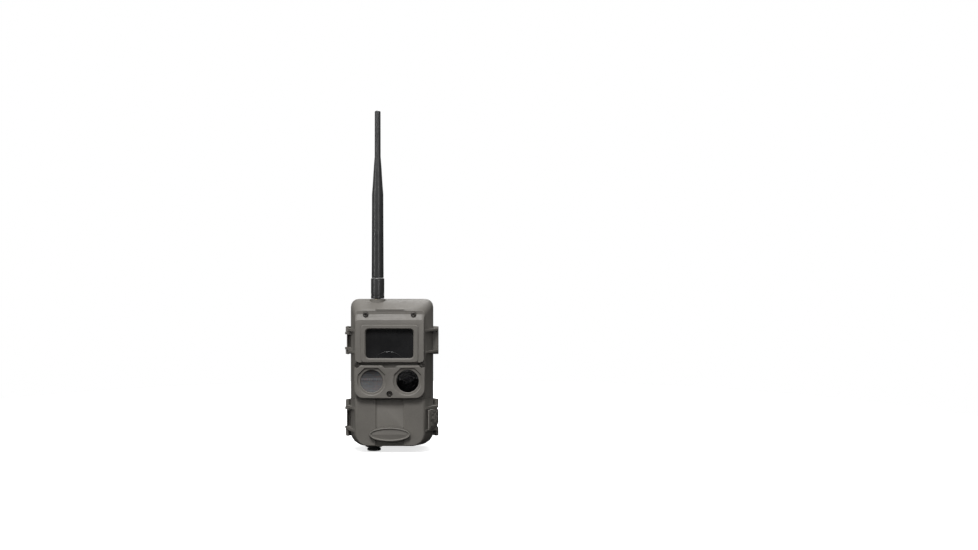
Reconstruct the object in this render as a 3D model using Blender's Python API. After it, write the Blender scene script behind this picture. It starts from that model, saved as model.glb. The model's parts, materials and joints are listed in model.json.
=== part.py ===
"""Trail camera with a whip antenna, as a bench assembly of separate pieces.

Frame: X to the right seen from the front, Y from the front of the camera to the tree, Z up.
Origin: centre of the bracket's face that rests on the tree (Y = 0), at half the case's height.
The rear case is the fixed body. The front half is a door, hinged on the two left ears.
"""

import math

import bmesh
import bpy
from mathutils import Matrix, Vector

MM = 0.001

# ---------------------------------------------------------------- driving dimensions (metres)

GAP = 0.3 * MM                 # between pieces that touch
SLIDE = 0.35 * MM              # around pieces that move

CASE_WIDTH = 84.2 * MM         # at the split between the front and rear halves
CASE_HEIGHT = 148.0 * MM
FACE_INSET = 7.7 * MM          # the front face is this much narrower on each side
FACE_TOP_DROP = 10.4 * MM      # the front face's top edge lies this far under the case's top
FACE_BOTTOM_RISE = 1.2 * MM
FRONT_DEPTH = 28.0 * MM        # split to front face
REAR_DEPTH = 36.7 * MM         # split to the rear case's back
REAR_DRAFT = 1.6 * MM          # its sides and top draw in by this much towards the back
TOP_RADIUS = 8.0 * MM          # corners of the outline
BOTTOM_RADIUS = 12.0 * MM
CROWN = 1.6                    # 1 gives straight sloping sides, more gives rounder ones
WALL = 2.5 * MM
FACE_EDGE = 0.9 * MM           # chamfer around the front face
BACK_ROUND = 11.0 * MM         # rounding of the rear case's back edge
BACK_INSET = 5.5 * MM
SEAM_Z = -25.5 * MM            # between the front housing and the lower cover

BEZEL_PROUD = 4.5 * MM         # both bezels, out of the front face
BEZEL_EDGE = 0.7 * MM
FLASH_WIDTH = 69.4 * MM
FLASH_BOTTOM = 10.7 * MM
FLASH_TOP = 59.2 * MM          # where the upper slope starts
FLASH_FLANGE_TOP = 62.6 * MM   # thin flange above the slope, around the upper screws
FLASH_FLANGE = 1.0 * MM
FLASH_FACE_TOP = 53.6 * MM
FLASH_FRAME_WIDTH = 57.0 * MM  # raised inner frame
FLASH_FRAME_TOP = 48.6 * MM
FLASH_FRAME_PROUD = 0.9 * MM
VISOR_WIDTH = 29.0 * MM        # boss above the flash bezel, between the two upper screws
VISOR_PROUD = 0.8 * MM
VISOR_RISE = 0.6 * MM
WINDOW_WIDTH = 47.4 * MM
WINDOW_HEIGHT = 29.0 * MM
WINDOW_Z = 29.9 * MM
WINDOW_RADIUS = 3.2 * MM
WINDOW_REBATE = 2.3 * MM       # the pane is this much larger than the opening, each side
PANE = 1.3 * MM                # thickness of the window panes

SENSOR_WIDTH = 71.0 * MM
SENSOR_BOTTOM = -25.1 * MM
SENSOR_TOP = 8.4 * MM
SENSOR_LOW_RADIUS = 9.5 * MM
EYE_X = 18.0 * MM              # motion sensor at -X, camera lens at +X
EYE_Z = -7.6 * MM
EYE_RADIUS = 11.2 * MM         # clear opening
EYE_POCKET = (14.0 * MM, 13.0 * MM)    # shallow pocket around it: radius below, height above
EYE_POCKET_DEPTH = 1.3 * MM
EYE_EDGE = 0.5 * MM            # chamfer of the opening
EYE_REBATE = 0.9 * MM
EYE_LIP = 1.0 * MM             # the front housing's holes are this much smaller
BARREL_PLAY = 1.2 * MM         # between that hole and the lens barrel
NOTCH_WIDTH = 16.0 * MM        # trapezoid notch at the sensor bezel's top
NOTCH_DEPTH = 3.0 * MM

SCREW_HEAD = 2.5 * MM          # front screws, head radius
SCREW_HEAD_HEIGHT = 1.8 * MM
SCREW_SHANK = 1.2 * MM
WELL_FLOOR = 0.9 * MM          # bezel left under a screw's head
UPPER_SCREW = (23.9 * MM, 58.8 * MM)
MIDDLE_SCREW = (32.6 * MM, 8.9 * MM)
LOWER_SCREW = (0.0, -20.2 * MM)

EAR_OUT = 5.3 * MM             # the ears stand out of the case's sides
UPPER_EAR = (17.8 * MM, 45.7 * MM)
LOWER_EAR = (-65.8 * MM, -28.7 * MM)
UPPER_LUGS = (4.2 * MM, 5.2 * MM)    # height of the lower and of the upper lug
LOWER_LUGS = (7.2 * MM, 7.2 * MM)
RIB = 2.4 * MM
UPPER_RIBS = (21.1 * MM, 42.8 * MM)    # middle heights of the door's ribs
LOWER_RIBS = (-57.8 * MM, -35.4 * MM)
RIB_FRONT = 3.0 * MM           # the ribs start this far behind the front face

PIN_RADIUS = 1.1 * MM
PIN_HOLE = 1.35 * MM
LUG_RADIUS = 2.2 * MM
ARM_RADIUS = 2.9 * MM
ARM_HEIGHT = 2.4 * MM          # of the two hinge arms that the door has in each left ear
WEB = 1.6 * MM                 # wall of the rear case behind each hinge pin
PIN_PROUD = 0.4 * MM

LATCH_SETBACK = 2.6 * MM       # latch pin behind the split
LATCH_TIP = 2.0 * MM           # thickness of the latch lever at its tip
LATCH_PLAY = 0.4 * MM

ANTENNA_X = -14.1 * MM
ANTENNA_BACK = 21.0 * MM       # its axis lies this far behind the front face
COLLAR_RADIUS = 6.75 * MM
COLLAR_HEIGHT = 21.2 * MM
WHIP_LOW_RADIUS = 6.1 * MM
WHIP_HIGH_RADIUS = 5.75 * MM
WHIP_STRAIGHT = 85.2 * MM      # thick part above the collar
WHIP_CONE = 38.3 * MM
TIP_LOW_RADIUS = 3.05 * MM
TIP_RADIUS = 2.95 * MM
TIP_LENGTH = 46.5 * MM
JACK_RADIUS = 3.1 * MM
JACK_LENGTH = 7.5 * MM

PORT_X = -17.5 * MM
PORT_BACK = 19.0 * MM
PORT_RADIUS = 3.4 * MM
PORT_BOSS = 8.3 * MM
PLUG_DISC = 6.9 * MM
PLUG_NECK = 5.2 * MM
PLUG_FLANGE = 9.0 * MM
PLUG_LENGTH = 5.6 * MM         # below the case

BADGE_SIZE = (40.7 * MM, 13.6 * MM)
BADGE_Z = -60.9 * MM
BADGE_THICKNESS = 3.2 * MM
BADGE_LAND = 0.8 * MM          # width of the level border left around the badge
CHANNEL_WIDTH = 29.4 * MM      # recess down the middle of the lower cover
CHANNEL_DEPTH = 1.4 * MM

CELL_RADIUS = 17.1 * MM        # D cell
CELL_LENGTH = 61.5 * MM        # with its nub
CELL_NUB = (4.75 * MM, 1.6 * MM)
CELL_PLAY = 1.2 * MM
TRAY_FLOOR = 1.2 * MM
TRAY_WALL = 1.5 * MM
TRAY_DEPTH = 12.5 * MM
TRAY_PLAY = 3.3 * MM           # clears the round inside corners of the rear case
TRAY_END_DEPTH = 28.0 * MM
TRAY_END_START = 3.5 * MM      # the end walls clear the case's round back edge
CONTACT_ROOM = 4.2 * MM        # between a cell and the tray's end wall
CONTACT_SHEET = 0.5 * MM

SEAL_WIDTH = 1.4 * MM
SEAL_ROOM = 0.6 * MM           # from the wall to the seal
SEAL_STEP = 0.3 * MM           # from the seal to the inner cover's step
FLANGE_LAP = 1.1 * MM          # the rear case's rim reaches this far past that step
COVER_PLAY = 0.5 * MM          # around the inner cover
COVER_THICKNESS = 2.1 * MM
DISH_DEPTH = 3.1 * MM
DISH_PLAY = (1.2 * MM, 1.6 * MM)   # around the cells, sideways and endways
DISH_RADIUS = 4.0 * MM
DISH_WALL = 1.8 * MM
COVER_SCREW_X = (28.0 * MM, 26.5 * MM)     # upper and lower pair
COVER_SCREW_INSET = 4.6 * MM   # inside the case's wall
COVER_SCREW_HEAD = 1.6 * MM
COVER_POST = 2.6 * MM          # radius of the cover's own posts, under its screws
BOSS_RADIUS = 2.8 * MM
BOSS_LENGTH = 10.0 * MM
BOSS_GUSSET = 2.0 * MM         # rib that ties each lower boss to the cover's bottom

BOARD_BACK = 13.0 * MM         # main board's front, behind the front face
BOARD_THICKNESS = 1.6 * MM
BOARD_SIZE = (62.0 * MM, 122.0 * MM)
BOARD_Z = -1.0 * MM
LCD_SIZE = (42.0 * MM, 31.0 * MM)
LCD_Z = 36.0 * MM
BUTTON_RADIUS = 3.2 * MM
BUTTON_FLANGE = 4.0 * MM
BUTTON_PROUD = 0.9 * MM
BUTTON_Z = 2.0 * MM            # middle of the button cross
BUTTON_PITCH = 9.5 * MM
SWITCH_Z = -17.0 * MM
SWITCH_SLOT = (10.4 * MM, 3.8 * MM)
CARD_SIZE = (32.0 * MM, 2.1 * MM, 24.0 * MM)
CARD_Z = -42.0 * MM
CARD_OUT = 4.0 * MM            # how far the card stands out of its slot

BRACKET_SIZE = (60.0 * MM, 3.6 * MM, 78.0 * MM)
BRACKET_DEPTH = 8.0 * MM
BRACKET_LEG = 7.0 * MM
BRACKET_SCREW = (20.0 * MM, 35.4 * MM)
TOOTH = 2.4 * MM
TOOTH_PITCH = 5.0 * MM
INSERT_RADIUS = 4.7 * MM
INSERT_HOLE = 3.2 * MM
INSERT_DEPTH = 4.8 * MM

# finer sizes of single pieces
FINE_STEP = 0.1 * MM
FINE_EDGE = 0.2 * MM
SKIN = 0.2 * MM                # joined shapes and cuts reach past a surface by this much
HAIR = 0.02 * MM
RIB_FOOT = 0.4 * MM            # the ribs stand out of the side by this much at their front end
RIB_FLAT = 5.0 * MM            # length at full reach, before the split
RIB_TAPER = 6.0 * MM
RIB_STEP = 0.6 * MM
RIB_SET_IN = 1.2 * MM          # the left ribs end this far inside the hinge axis
RIB_CLEARANCE = 1.0 * MM
EAR_ROOT = 12.0 * MM           # the ears run out into the side this far from the split
LOCK_FLAT = 4.0 * MM           # straight part of the upper right ear, each half
LOCK_SLOPE = 2.2 * MM
LOCK_LIP = 3.0 * MM
ARM_FOOT = 0.3 * MM
INSERT_WALL = 2.0 * MM
INSERT_FLOOR = 1.0 * MM
INSERT_END = 0.8 * MM
BRACKET_RADIUS = 5.0 * MM
LEG_INSET = (4.0 * MM, 0.5 * MM)          # sideways, and up and down
TOOTH_ENDS = 18.0 * MM         # bracket's height left without teeth
TOOTH_PROUD = 0.4 * MM
RELIEF_EDGES = (14.0 * MM, 5.5 * MM)
RELIEF_DEPTH = 1.4 * MM
BRACKET_BORE = 1.8 * MM
BRACKET_WELL = (3.3 * MM, 2.9 * MM)       # radius and depth
BRACKET_HEAD = (2.9 * MM, 2.0 * MM)       # radius and height
BRACKET_SHANK = 1.4 * MM
BRACKET_SCREW_SUNK = 0.5 * MM
BRACKET_SCREW_END = 1.4 * MM   # wall left in front of its tip
BRACKET_PILOT = 1.7 * MM
PILOT_FLOOR = 0.5 * MM
CONTACT_HALF = 9.0 * MM
DIMPLE = (3.4 * MM, 4.4 * MM)  # radius at the cell and at the sheet
DIMPLE_PLAY = 0.4 * MM
SPRING_WIRE = 0.4 * MM         # radius
BOSS_HOLE = 8.0 * MM
SCREW_HOLE = 6.0 * MM
PAD_MARGIN = 1.2 * MM          # pad around the antenna's collar
PAD_HEIGHT = 4.4 * MM
PAD_POCKET = 8.0 * MM
JACK_HOLE = 7.0 * MM
PORT_HOLE = 7.0 * MM
PORT_BOSS_HEIGHT = 4.0 * MM
PORT_POCKET = 6.0 * MM
FLASH_HOLE_PLAY = 0.5 * MM
WELL_PLAY = 0.5 * MM           # around a front screw's head
FRONT_SCREW_REACH = 5.0 * MM   # behind the front face
BADGE_EDGE = 0.5 * MM
FLASH_RADIUS = 3.0 * MM
FRAME_EDGE = 0.4 * MM
WINDOW_FLARE = 1.2 * MM
WINDOW_STRAIGHT = 0.6 * MM
SENSOR_TOP_RADIUS = 4.0 * MM
SENSOR_DRAFT = 0.3 * MM
NOTCH_SLOPE = 3.0 * MM
FILM_STEP = 0.2 * MM
FILM_MARGIN = 0.6 * MM
FILM_DOME = 1.1 * MM
BOARD_RADIUS = 2.0 * MM
BARREL_SETBACK = 0.8 * MM      # lens barrel's front, behind the front face
BARREL_RIM = (1.6 * MM, 4.0 * MM)         # step in radius and length of the wide front part
BARREL_EDGE = 0.4 * MM
BARREL_LIP = 0.9 * MM
BARREL_FUNNEL = 3.0 * MM
BARREL_BORE = 6.0 * MM
GLASS_PLAY = 0.3 * MM
GLASS_SEAT = 0.4 * MM
GLASS_DEPTHS = (5.6 * MM, 4.4 * MM, 3.7 * MM, 3.4 * MM)
CAN_RADIUS = 4.6 * MM
CAN_HEIGHT = 4.2 * MM
CAN_BRIM = (0.5 * MM, 0.7 * MM)
LED_ROOM = 0.6 * MM
LED_MARGIN = 2.0 * MM
HOOD_RADIUS = 18.0 * MM
HOOD_RISE = 6.6 * MM
HOOD_LIFT = 0.2 * MM
COVER_LEDGE = 0.9 * MM
COVER_WELL = 1.3 * MM
COVER_SCREW_SUNK = 0.1 * MM
COVER_SCREW_LENGTH = 10.0 * MM
COVER_HEAD_HEIGHT = 0.9 * MM
SEAL_SQUEEZE = 0.1 * MM
SEAL_SETBACK = 0.2 * MM
LCD_RADIUS = 1.2 * MM
LCD_DEPTHS = (0.6 * MM, 0.4 * MM)         # proud of the dish's front, sunk under its floor
SWITCH_SLOT_RADIUS = 1.0 * MM
SWITCH_HALF = 2.6 * MM
SWITCH_FOOT = (0.8 * MM, 1.2 * MM)        # its start and its reach around the knob
CARD_OPENING = (9.0 * MM, 15.0 * MM)
CARD_MARGIN = 2.5 * MM
CARD_ROOM = 1.1 * MM
CARD_TRAVEL = 1.2 * MM
SLOT_WALLS = (2.2 * MM, 0.8 * MM, 1.4 * MM)
BUTTON_EDGE = 0.5 * MM
BUTTON_FLANGE_HEIGHT = 0.8 * MM
JACK_NUT = (3.9 * MM, 5.0 * MM, 6.6 * MM)     # radius, then where it starts and ends
JACK_EDGE = 0.4 * MM
COLLAR_BORE = 4.2 * MM
COLLAR_EDGES = (0.5 * MM, 0.8 * MM)
STEM_ROOM = 2.0 * MM
WHIP_EDGE = 0.4 * MM
STEM_PLAY = 0.9 * MM
SOCKET = (1.2 * MM, 11.0 * MM)
SOCKET_BORE = 8.5 * MM
LATCH_FRONT = 0.6 * MM
LATCH_NOSE = 0.5 * MM
LATCH_INSET = 0.6 * MM

# ---------------------------------------------------------------- places worked out from them

Y_BACK = -(BRACKET_DEPTH + GAP)
Y_SPLIT = Y_BACK - REAR_DEPTH
Y_FACE = Y_SPLIT - FRONT_DEPTH
Y_DOOR = Y_SPLIT - GAP / 2
Y_CASE = Y_SPLIT + GAP / 2
Y_BEZEL = Y_FACE - GAP                    # rear face of both bezels
Y_BEZEL_FACE = Y_FACE - BEZEL_PROUD
Y_COVER = Y_SPLIT - 0.5 * MM              # rear face of the inner cover
COVER_ROOM = 0.5 * MM + COVER_THICKNESS + GAP   # what the inner cover takes up behind the door's parts
Y_DISH = Y_COVER - DISH_DEPTH             # floor of its dish, the side with the controls
Y_DISH_FRONT = Y_DISH - DISH_WALL
Y_BOARD = Y_FACE + BOARD_BACK             # front of the main board
Y_BOARD_BACK = Y_BOARD + BOARD_THICKNESS
Y_ANTENNA = Y_FACE + ANTENNA_BACK
Y_PORT = Y_FACE + PORT_BACK
TOP = CASE_HEIGHT / 2
COVER_EDGE = WALL + COVER_PLAY             # the inner cover's edge, inside the case's outline
SEAL_EDGES = (WALL + SEAL_ROOM, WALL + SEAL_ROOM + SEAL_WIDTH)
COVER_STEP = SEAL_EDGES[1] + SEAL_STEP
FLANGE = COVER_STEP + FLANGE_LAP          # width of the rear case's sealing rim
FACE_WIDTH = CASE_WIDTH - 2 * FACE_INSET
EAR_REACH = CASE_WIDTH / 2 + EAR_OUT
HINGE_X = -(EAR_REACH - LUG_RADIUS)
Y_CELLS = Y_BACK - WALL - GAP - TRAY_FLOOR - GAP - CELL_RADIUS
CELL_X = CELL_RADIUS + 0.2 * MM
CELLS_END = CELL_LENGTH + CELL_PLAY / 2   # outer end of a column of two cells
DISH_HALF = CELL_X + CELL_RADIUS + DISH_PLAY[0]
DISH_TOP = CELLS_END + DISH_PLAY[1]
COVER_SCREW_Z = TOP - WALL - COVER_SCREW_INSET
COVER_SCREWS = ((COVER_SCREW_X[0], COVER_SCREW_Z), (COVER_SCREW_X[1], -COVER_SCREW_Z))
LATCH_X = EAR_REACH - LUG_RADIUS
Y_LATCH = Y_SPLIT + LATCH_SETBACK


# ---------------------------------------------------------------- tools

def clear_scene():
    for old in list(bpy.data.objects):
        bpy.data.objects.remove(old, do_unlink=True)


def material(name, colour, roughness, metallic=0.0, alpha=1.0):
    made = bpy.data.materials.new(name)
    made.use_nodes = True
    shader = made.node_tree.nodes["Principled BSDF"]
    shader.inputs["Base Color"].default_value = (*colour, 1.0)
    shader.inputs["Roughness"].default_value = roughness
    shader.inputs["Metallic"].default_value = metallic
    shader.inputs["Alpha"].default_value = alpha
    made.diffuse_color = (*colour, alpha)
    return made


def as_object(name, bm, finish=None):
    """Turn a bmesh into a named object; without a finish it is a hidden helper."""
    bmesh.ops.recalc_face_normals(bm, faces=bm.faces)
    mesh = bpy.data.meshes.new(name)
    bm.to_mesh(mesh)
    bm.free()
    made = bpy.data.objects.new(name, mesh)
    bpy.context.scene.collection.objects.link(made)
    if finish is None:
        made.hide_render = True
        made.display_type = "WIRE"
    else:
        mesh.materials.append(finish)
        mesh.shade_smooth()
        mesh.set_sharp_from_angle(angle=math.radians(35))
    return made


def combine(target, helper, operation, name):
    step = target.modifiers.new(name, "BOOLEAN")
    step.object = helper
    step.operation = operation
    step.solver = "EXACT"


def add(target, bm, name):
    combine(target, as_object(target.name + "." + name, bm), "UNION", name)


def cut(target, bm, name):
    combine(target, as_object(target.name + "." + name, bm), "DIFFERENCE", name)


def merge(*meshes):
    """Put several separate closed shapes into one bmesh."""
    whole = bmesh.new()
    for bm in meshes:
        part = bpy.data.meshes.new("part")
        bm.to_mesh(part)
        bm.free()
        whole.from_mesh(part)
        bpy.data.meshes.remove(part)
    return whole


def outline(half, low, top, low_radius, top_radius, y, steps=4):
    """Rounded rectangle in the plane of y, with its own radii at the bottom and top corners."""
    corners = [
        (half - top_radius, top - top_radius, top_radius, 0),
        (-half + top_radius, top - top_radius, top_radius, 90),
        (-half + low_radius, low + low_radius, low_radius, 180),
        (half - low_radius, low + low_radius, low_radius, 270),
    ]
    points = []
    for x, z, radius, start in corners:
        for step in range(steps + 1):
            angle = math.radians(start + 90 * step / steps)
            points.append((x + radius * math.cos(angle), y, z + radius * math.sin(angle)))
    return points


def loft(rings, closed=False):
    """Skin a row of rings; the ends are capped, or joined to each other when closed."""
    bm = bmesh.new()
    rows = [[bm.verts.new(point) for point in ring] for ring in rings]
    count = len(rows[0])
    pairs = list(zip(rows, rows[1:]))
    if closed:
        pairs.append((rows[-1], rows[0]))
    for near, far in pairs:
        for i in range(count):
            j = (i + 1) % count
            bm.faces.new((near[i], near[j], far[j], far[i]))
    if not closed:
        bm.faces.new(rows[0])
        bm.faces.new(rows[-1])
    return bm


def slab(half, low, top, radius, y_front, y_back, steps=4):
    """Rounded plate that lies across Y."""
    return loft([outline(half, low, top, radius, radius, y, steps) for y in (y_front, y_back)])


def block(x, y, z):
    """Box between two values on each axis."""
    size = Vector((x[1] - x[0], y[1] - y[0], z[1] - z[0]))
    middle = Vector((sum(x), sum(y), sum(z))) / 2
    bm = bmesh.new()
    bmesh.ops.create_cube(bm, size=1.0, matrix=Matrix.Translation(middle) @ Matrix.Diagonal((*size, 1)))
    return bm


def turned(profile, centre, axis, segments=24, phase=0.0):
    """Solid of revolution; profile holds (radius, distance along axis), from end to end."""
    turn = Vector((0, 0, 1)).rotation_difference(Vector(axis)).to_matrix().to_4x4()
    place = Matrix.Translation(Vector(centre)) @ turn
    bm = bmesh.new()
    rows = []
    for radius, height in profile:
        if radius == 0:
            rows.append([bm.verts.new(place @ Vector((0, 0, height)))])
            continue
        angles = [2 * math.pi * (i + phase) / segments for i in range(segments)]
        rows.append([bm.verts.new(place @ Vector((radius * math.cos(a), radius * math.sin(a), height)))
                     for a in angles])
    for near, far in zip(rows, rows[1:]):
        for i in range(segments):
            j = (i + 1) % segments
            if len(near) == 1:
                bm.faces.new((near[0], far[j], far[i]))
            elif len(far) == 1:
                bm.faces.new((near[i], near[j], far[0]))
            else:
                bm.faces.new((near[i], near[j], far[j], far[i]))
    for row in (rows[0], rows[-1]):
        if len(row) > 1:
            bm.faces.new(row)
    return bm


def drum(radius, centre, axis, start, end, segments=24, phase=0.0):
    return turned([(radius, start), (radius, end)], centre, axis, segments, phase)


def prism(points, low, high):
    """Extrude an outline of (x, y) points between two heights."""
    bm = bmesh.new()
    rows = [[bm.verts.new((x, y, z)) for x, y in points] for z in (low, high)]
    count = len(points)
    for i in range(count):
        j = (i + 1) % count
        bm.faces.new((rows[0][i], rows[0][j], rows[1][j], rows[1][i]))
    bm.faces.new(rows[0])
    bm.faces.new(rows[1])
    return bm


def arc(x, y, radius, start, end, steps):
    """Points on an arc in the plane of a prism, angles in degrees."""
    angles = [math.radians(start + (end - start) * i / steps) for i in range(steps + 1)]
    return [(x + radius * math.cos(a), y + radius * math.sin(a)) for a in angles]


# ---------------------------------------------------------------- finishes

taupe = material("taupe_plastic", (0.128, 0.118, 0.104), 0.62)
bezel_taupe = material("bezel_plastic", (0.135, 0.124, 0.11), 0.58)
black_plastic = material("black_plastic", (0.018, 0.018, 0.018), 0.5)
smoked = material("smoked_filter", (0.012, 0.012, 0.013), 0.16)
fresnel = material("pir_film", (0.11, 0.108, 0.115), 0.42)
clear = material("clear_glass", (0.02, 0.02, 0.02), 0.06)
antenna_black = material("antenna_plastic", (0.07, 0.07, 0.07), 0.45)
rubber = material("black_rubber", (0.014, 0.014, 0.014), 0.75)
seal_rubber = material("seal_rubber", (0.05, 0.05, 0.05), 0.8)
dark_steel = material("dark_steel", (0.09, 0.085, 0.08), 0.42, 0.9)
steel = material("steel", (0.55, 0.55, 0.54), 0.32, 1.0)
brass = material("brass", (0.72, 0.53, 0.24), 0.3, 1.0)
board_green = material("circuit_board", (0.02, 0.11, 0.05), 0.5)
tray_grey = material("tray_plastic", (0.03, 0.03, 0.031), 0.55)
cell_skin = material("cell_jacket", (0.05, 0.052, 0.056), 0.3, 0.4)
display = material("display_glass", (0.03, 0.038, 0.034), 0.12)
key_rubber = material("key_rubber", (0.23, 0.225, 0.215), 0.65)
card_blue = material("card_plastic", (0.02, 0.03, 0.09), 0.4)


# ---------------------------------------------------------------- outlines of the case

def front_outline(y, inset=0.0):
    """Outline of the front half at y, moved in by inset."""
    share = ((Y_SPLIT - y) / FRONT_DEPTH) ** CROWN if y < Y_SPLIT else 0.0
    half = CASE_WIDTH / 2 - share * (CASE_WIDTH - FACE_WIDTH) / 2 - inset
    low = -TOP + share * FACE_BOTTOM_RISE + inset
    top = TOP - share * FACE_TOP_DROP - inset
    return outline(half, low, top, BOTTOM_RADIUS - inset, TOP_RADIUS - inset, y)


def wall_x(y):
    """Half-width of the front half at y."""
    share = ((Y_SPLIT - y) / FRONT_DEPTH) ** CROWN
    return CASE_WIDTH / 2 - share * (CASE_WIDTH - FACE_WIDTH) / 2


def front_shell(name, finish):
    """The whole front half as one cup; the housing and the lower cover are cut from it."""
    steps = 5
    depths = [Y_DOOR - (FRONT_DEPTH - GAP / 2 - FACE_EDGE) * i / steps for i in range(steps + 1)]
    outside = [front_outline(y) for y in depths]
    face = outline(FACE_WIDTH / 2 - FACE_EDGE, -TOP + FACE_BOTTOM_RISE + FACE_EDGE,
                   TOP - FACE_TOP_DROP - FACE_EDGE, BOTTOM_RADIUS - FACE_EDGE,
                   TOP_RADIUS - FACE_EDGE, Y_FACE)
    inner_depth = FRONT_DEPTH - GAP / 2 - WALL
    inside = [front_outline(Y_DOOR - inner_depth * i / steps, WALL) for i in range(steps + 1)]
    return as_object(name, loft([face] + outside[::-1] + inside), finish)


# ---------------------------------------------------------------- ears, shared by both halves

def ribs(side):
    """The door's flat ribs that lead to the ears, on one side of the case."""
    front = Y_FACE + RIB_FRONT
    middle = (front + Y_DOOR) / 2
    inner = [(wall_x(y) - WALL / 2, y) for y in (Y_DOOR, middle, front)]
    if side > 0:
        outer = [(wall_x(front) + RIB_FOOT, front), (EAR_REACH, Y_DOOR - RIB_FLAT), (EAR_REACH, Y_DOOR)]
    else:
        reach = -HINGE_X - RIB_SET_IN
        clear_y = Y_SPLIT - LUG_RADIUS - SLIDE - RIB_CLEARANCE
        outer = [(wall_x(front) + RIB_FOOT, front), (reach, clear_y - RIB_TAPER), (reach, clear_y),
                 (wall_x(Y_DOOR) + FINE_STEP, clear_y + RIB_STEP), (wall_x(Y_DOOR) + FINE_STEP, Y_DOOR)]
    return [(side * x, y) for x, y in inner + outer]


def ear_lugs(target, side, ear, heights, axis_x, axis_y, name):
    """Two lugs of the rear case, above and below one ear, with the pin's holes."""
    spans = [(ear[0], ear[0] + heights[0]), (ear[1] - heights[1], ear[1])]
    root_y = Y_SPLIT + EAR_ROOT
    inside = CASE_WIDTH / 2 - WALL / 2
    nose = arc(abs(axis_x), axis_y, LUG_RADIUS, 0, -180, 8)
    shape = [(inside, root_y), (CASE_WIDTH / 2 + SKIN, root_y)] + nose
    shape += [(abs(axis_x) - LUG_RADIUS, max(axis_y, Y_CASE)), (inside, max(axis_y, Y_CASE))]
    shape = [(side * x, y) for x, y in shape]
    add(target, merge(*[prism(shape, low, high) for low, high in spans]), name)
    return [drum(PIN_HOLE, (axis_x, axis_y, 0), (0, 0, 1), low - MM, high + MM, 16)
            for low, high in spans]


# ---------------------------------------------------------------- rear half

def make_rear_case():
    """Battery compartment: a cup with a sealing rim, four ears and a threaded insert's boss."""
    half, corner = CASE_WIDTH / 2, BACK_ROUND

    def ring(y, inset):
        draft = REAR_DRAFT * (y - Y_CASE) / REAR_DEPTH
        return outline(half - inset - draft, -TOP + inset, TOP - inset - draft,
                       BOTTOM_RADIUS - min(inset, WALL), TOP_RADIUS - min(inset, WALL), y)

    def back(depth, inset):
        rows = []
        for i in range(4):
            angle = math.radians(90 * i / 3)
            rows.append(ring(Y_BACK - depth - corner * (1 - math.sin(angle)),
                             inset + BACK_INSET * (1 - math.cos(angle))))
        return rows

    rim = [outline(half - FLANGE, -TOP + FLANGE, TOP - FLANGE, BOTTOM_RADIUS - FLANGE,
                   TOP_RADIUS - FLANGE, y) for y in (Y_CASE + WALL, Y_CASE)]
    outside = [ring(Y_CASE, 0)] + back(0, 0)
    inside = back(WALL, WALL)[::-1] + [ring(Y_CASE + WALL, WALL)]
    case = as_object("rear_case", loft(inside + rim + outside), taupe)

    holes = []
    for side, name in ((-1, "left"), (1, "right")):
        x = side * LATCH_X if side > 0 else HINGE_X
        y = Y_LATCH if side > 0 else Y_SPLIT
        if side < 0:
            holes += ear_lugs(case, side, UPPER_EAR, UPPER_LUGS, x, y, "upper_lugs_" + name)
        holes += ear_lugs(case, side, LOWER_EAR, LOWER_LUGS, x, y, "lower_lugs_" + name)
    root_y = Y_SPLIT + EAR_ROOT
    lock_ear = [(half - WALL / 2, Y_CASE), (EAR_REACH, Y_CASE), (EAR_REACH, Y_CASE + LOCK_FLAT),
                (half + SKIN, root_y), (half - WALL / 2, root_y)]
    add(case, prism(lock_ear, *UPPER_EAR), "lock_ear")
    web_y = Y_SPLIT + ARM_RADIUS + 2 * SLIDE
    web_x = (-(EAR_REACH - LUG_RADIUS), -(half - WALL / 2))
    webs = [block(web_x, (web_y, web_y + WEB), (ear[0] + lugs[0] / 2, ear[1] - lugs[1] / 2))
            for ear, lugs in ((UPPER_EAR, UPPER_LUGS), (LOWER_EAR, LOWER_LUGS))]
    add(case, merge(*webs), "hinge_webs")

    insert_y = (Y_BACK + Y_SPLIT) / 2
    add(case, drum(INSERT_RADIUS + INSERT_WALL, (0, insert_y, -TOP), (0, 0, 1), INSERT_FLOOR,
                   INSERT_DEPTH + INSERT_FLOOR), "insert_boss")
    holes.append(drum(INSERT_RADIUS + GAP, (0, insert_y, -TOP), (0, 0, 1), -MM, INSERT_DEPTH + GAP))
    screw_x, screw_z = BRACKET_SCREW
    for x in (-screw_x, screw_x):
        for z in (-screw_z, screw_z):
            holes.append(drum(BRACKET_PILOT, (x, Y_BACK, z), (0, -1, 0), -MM, WALL - PILOT_FLOOR, 16))
    cut(case, merge(*holes), "holes")

    insert = as_object("tripod_insert", drum(INSERT_RADIUS, (0, insert_y, -TOP), (0, 0, 1),
                                             FINE_EDGE, INSERT_DEPTH), brass)
    cut(insert, drum(INSERT_HOLE, (0, insert_y, -TOP), (0, 0, 1), -MM, INSERT_DEPTH - INSERT_END, 20),
        "thread")
    return case


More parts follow.
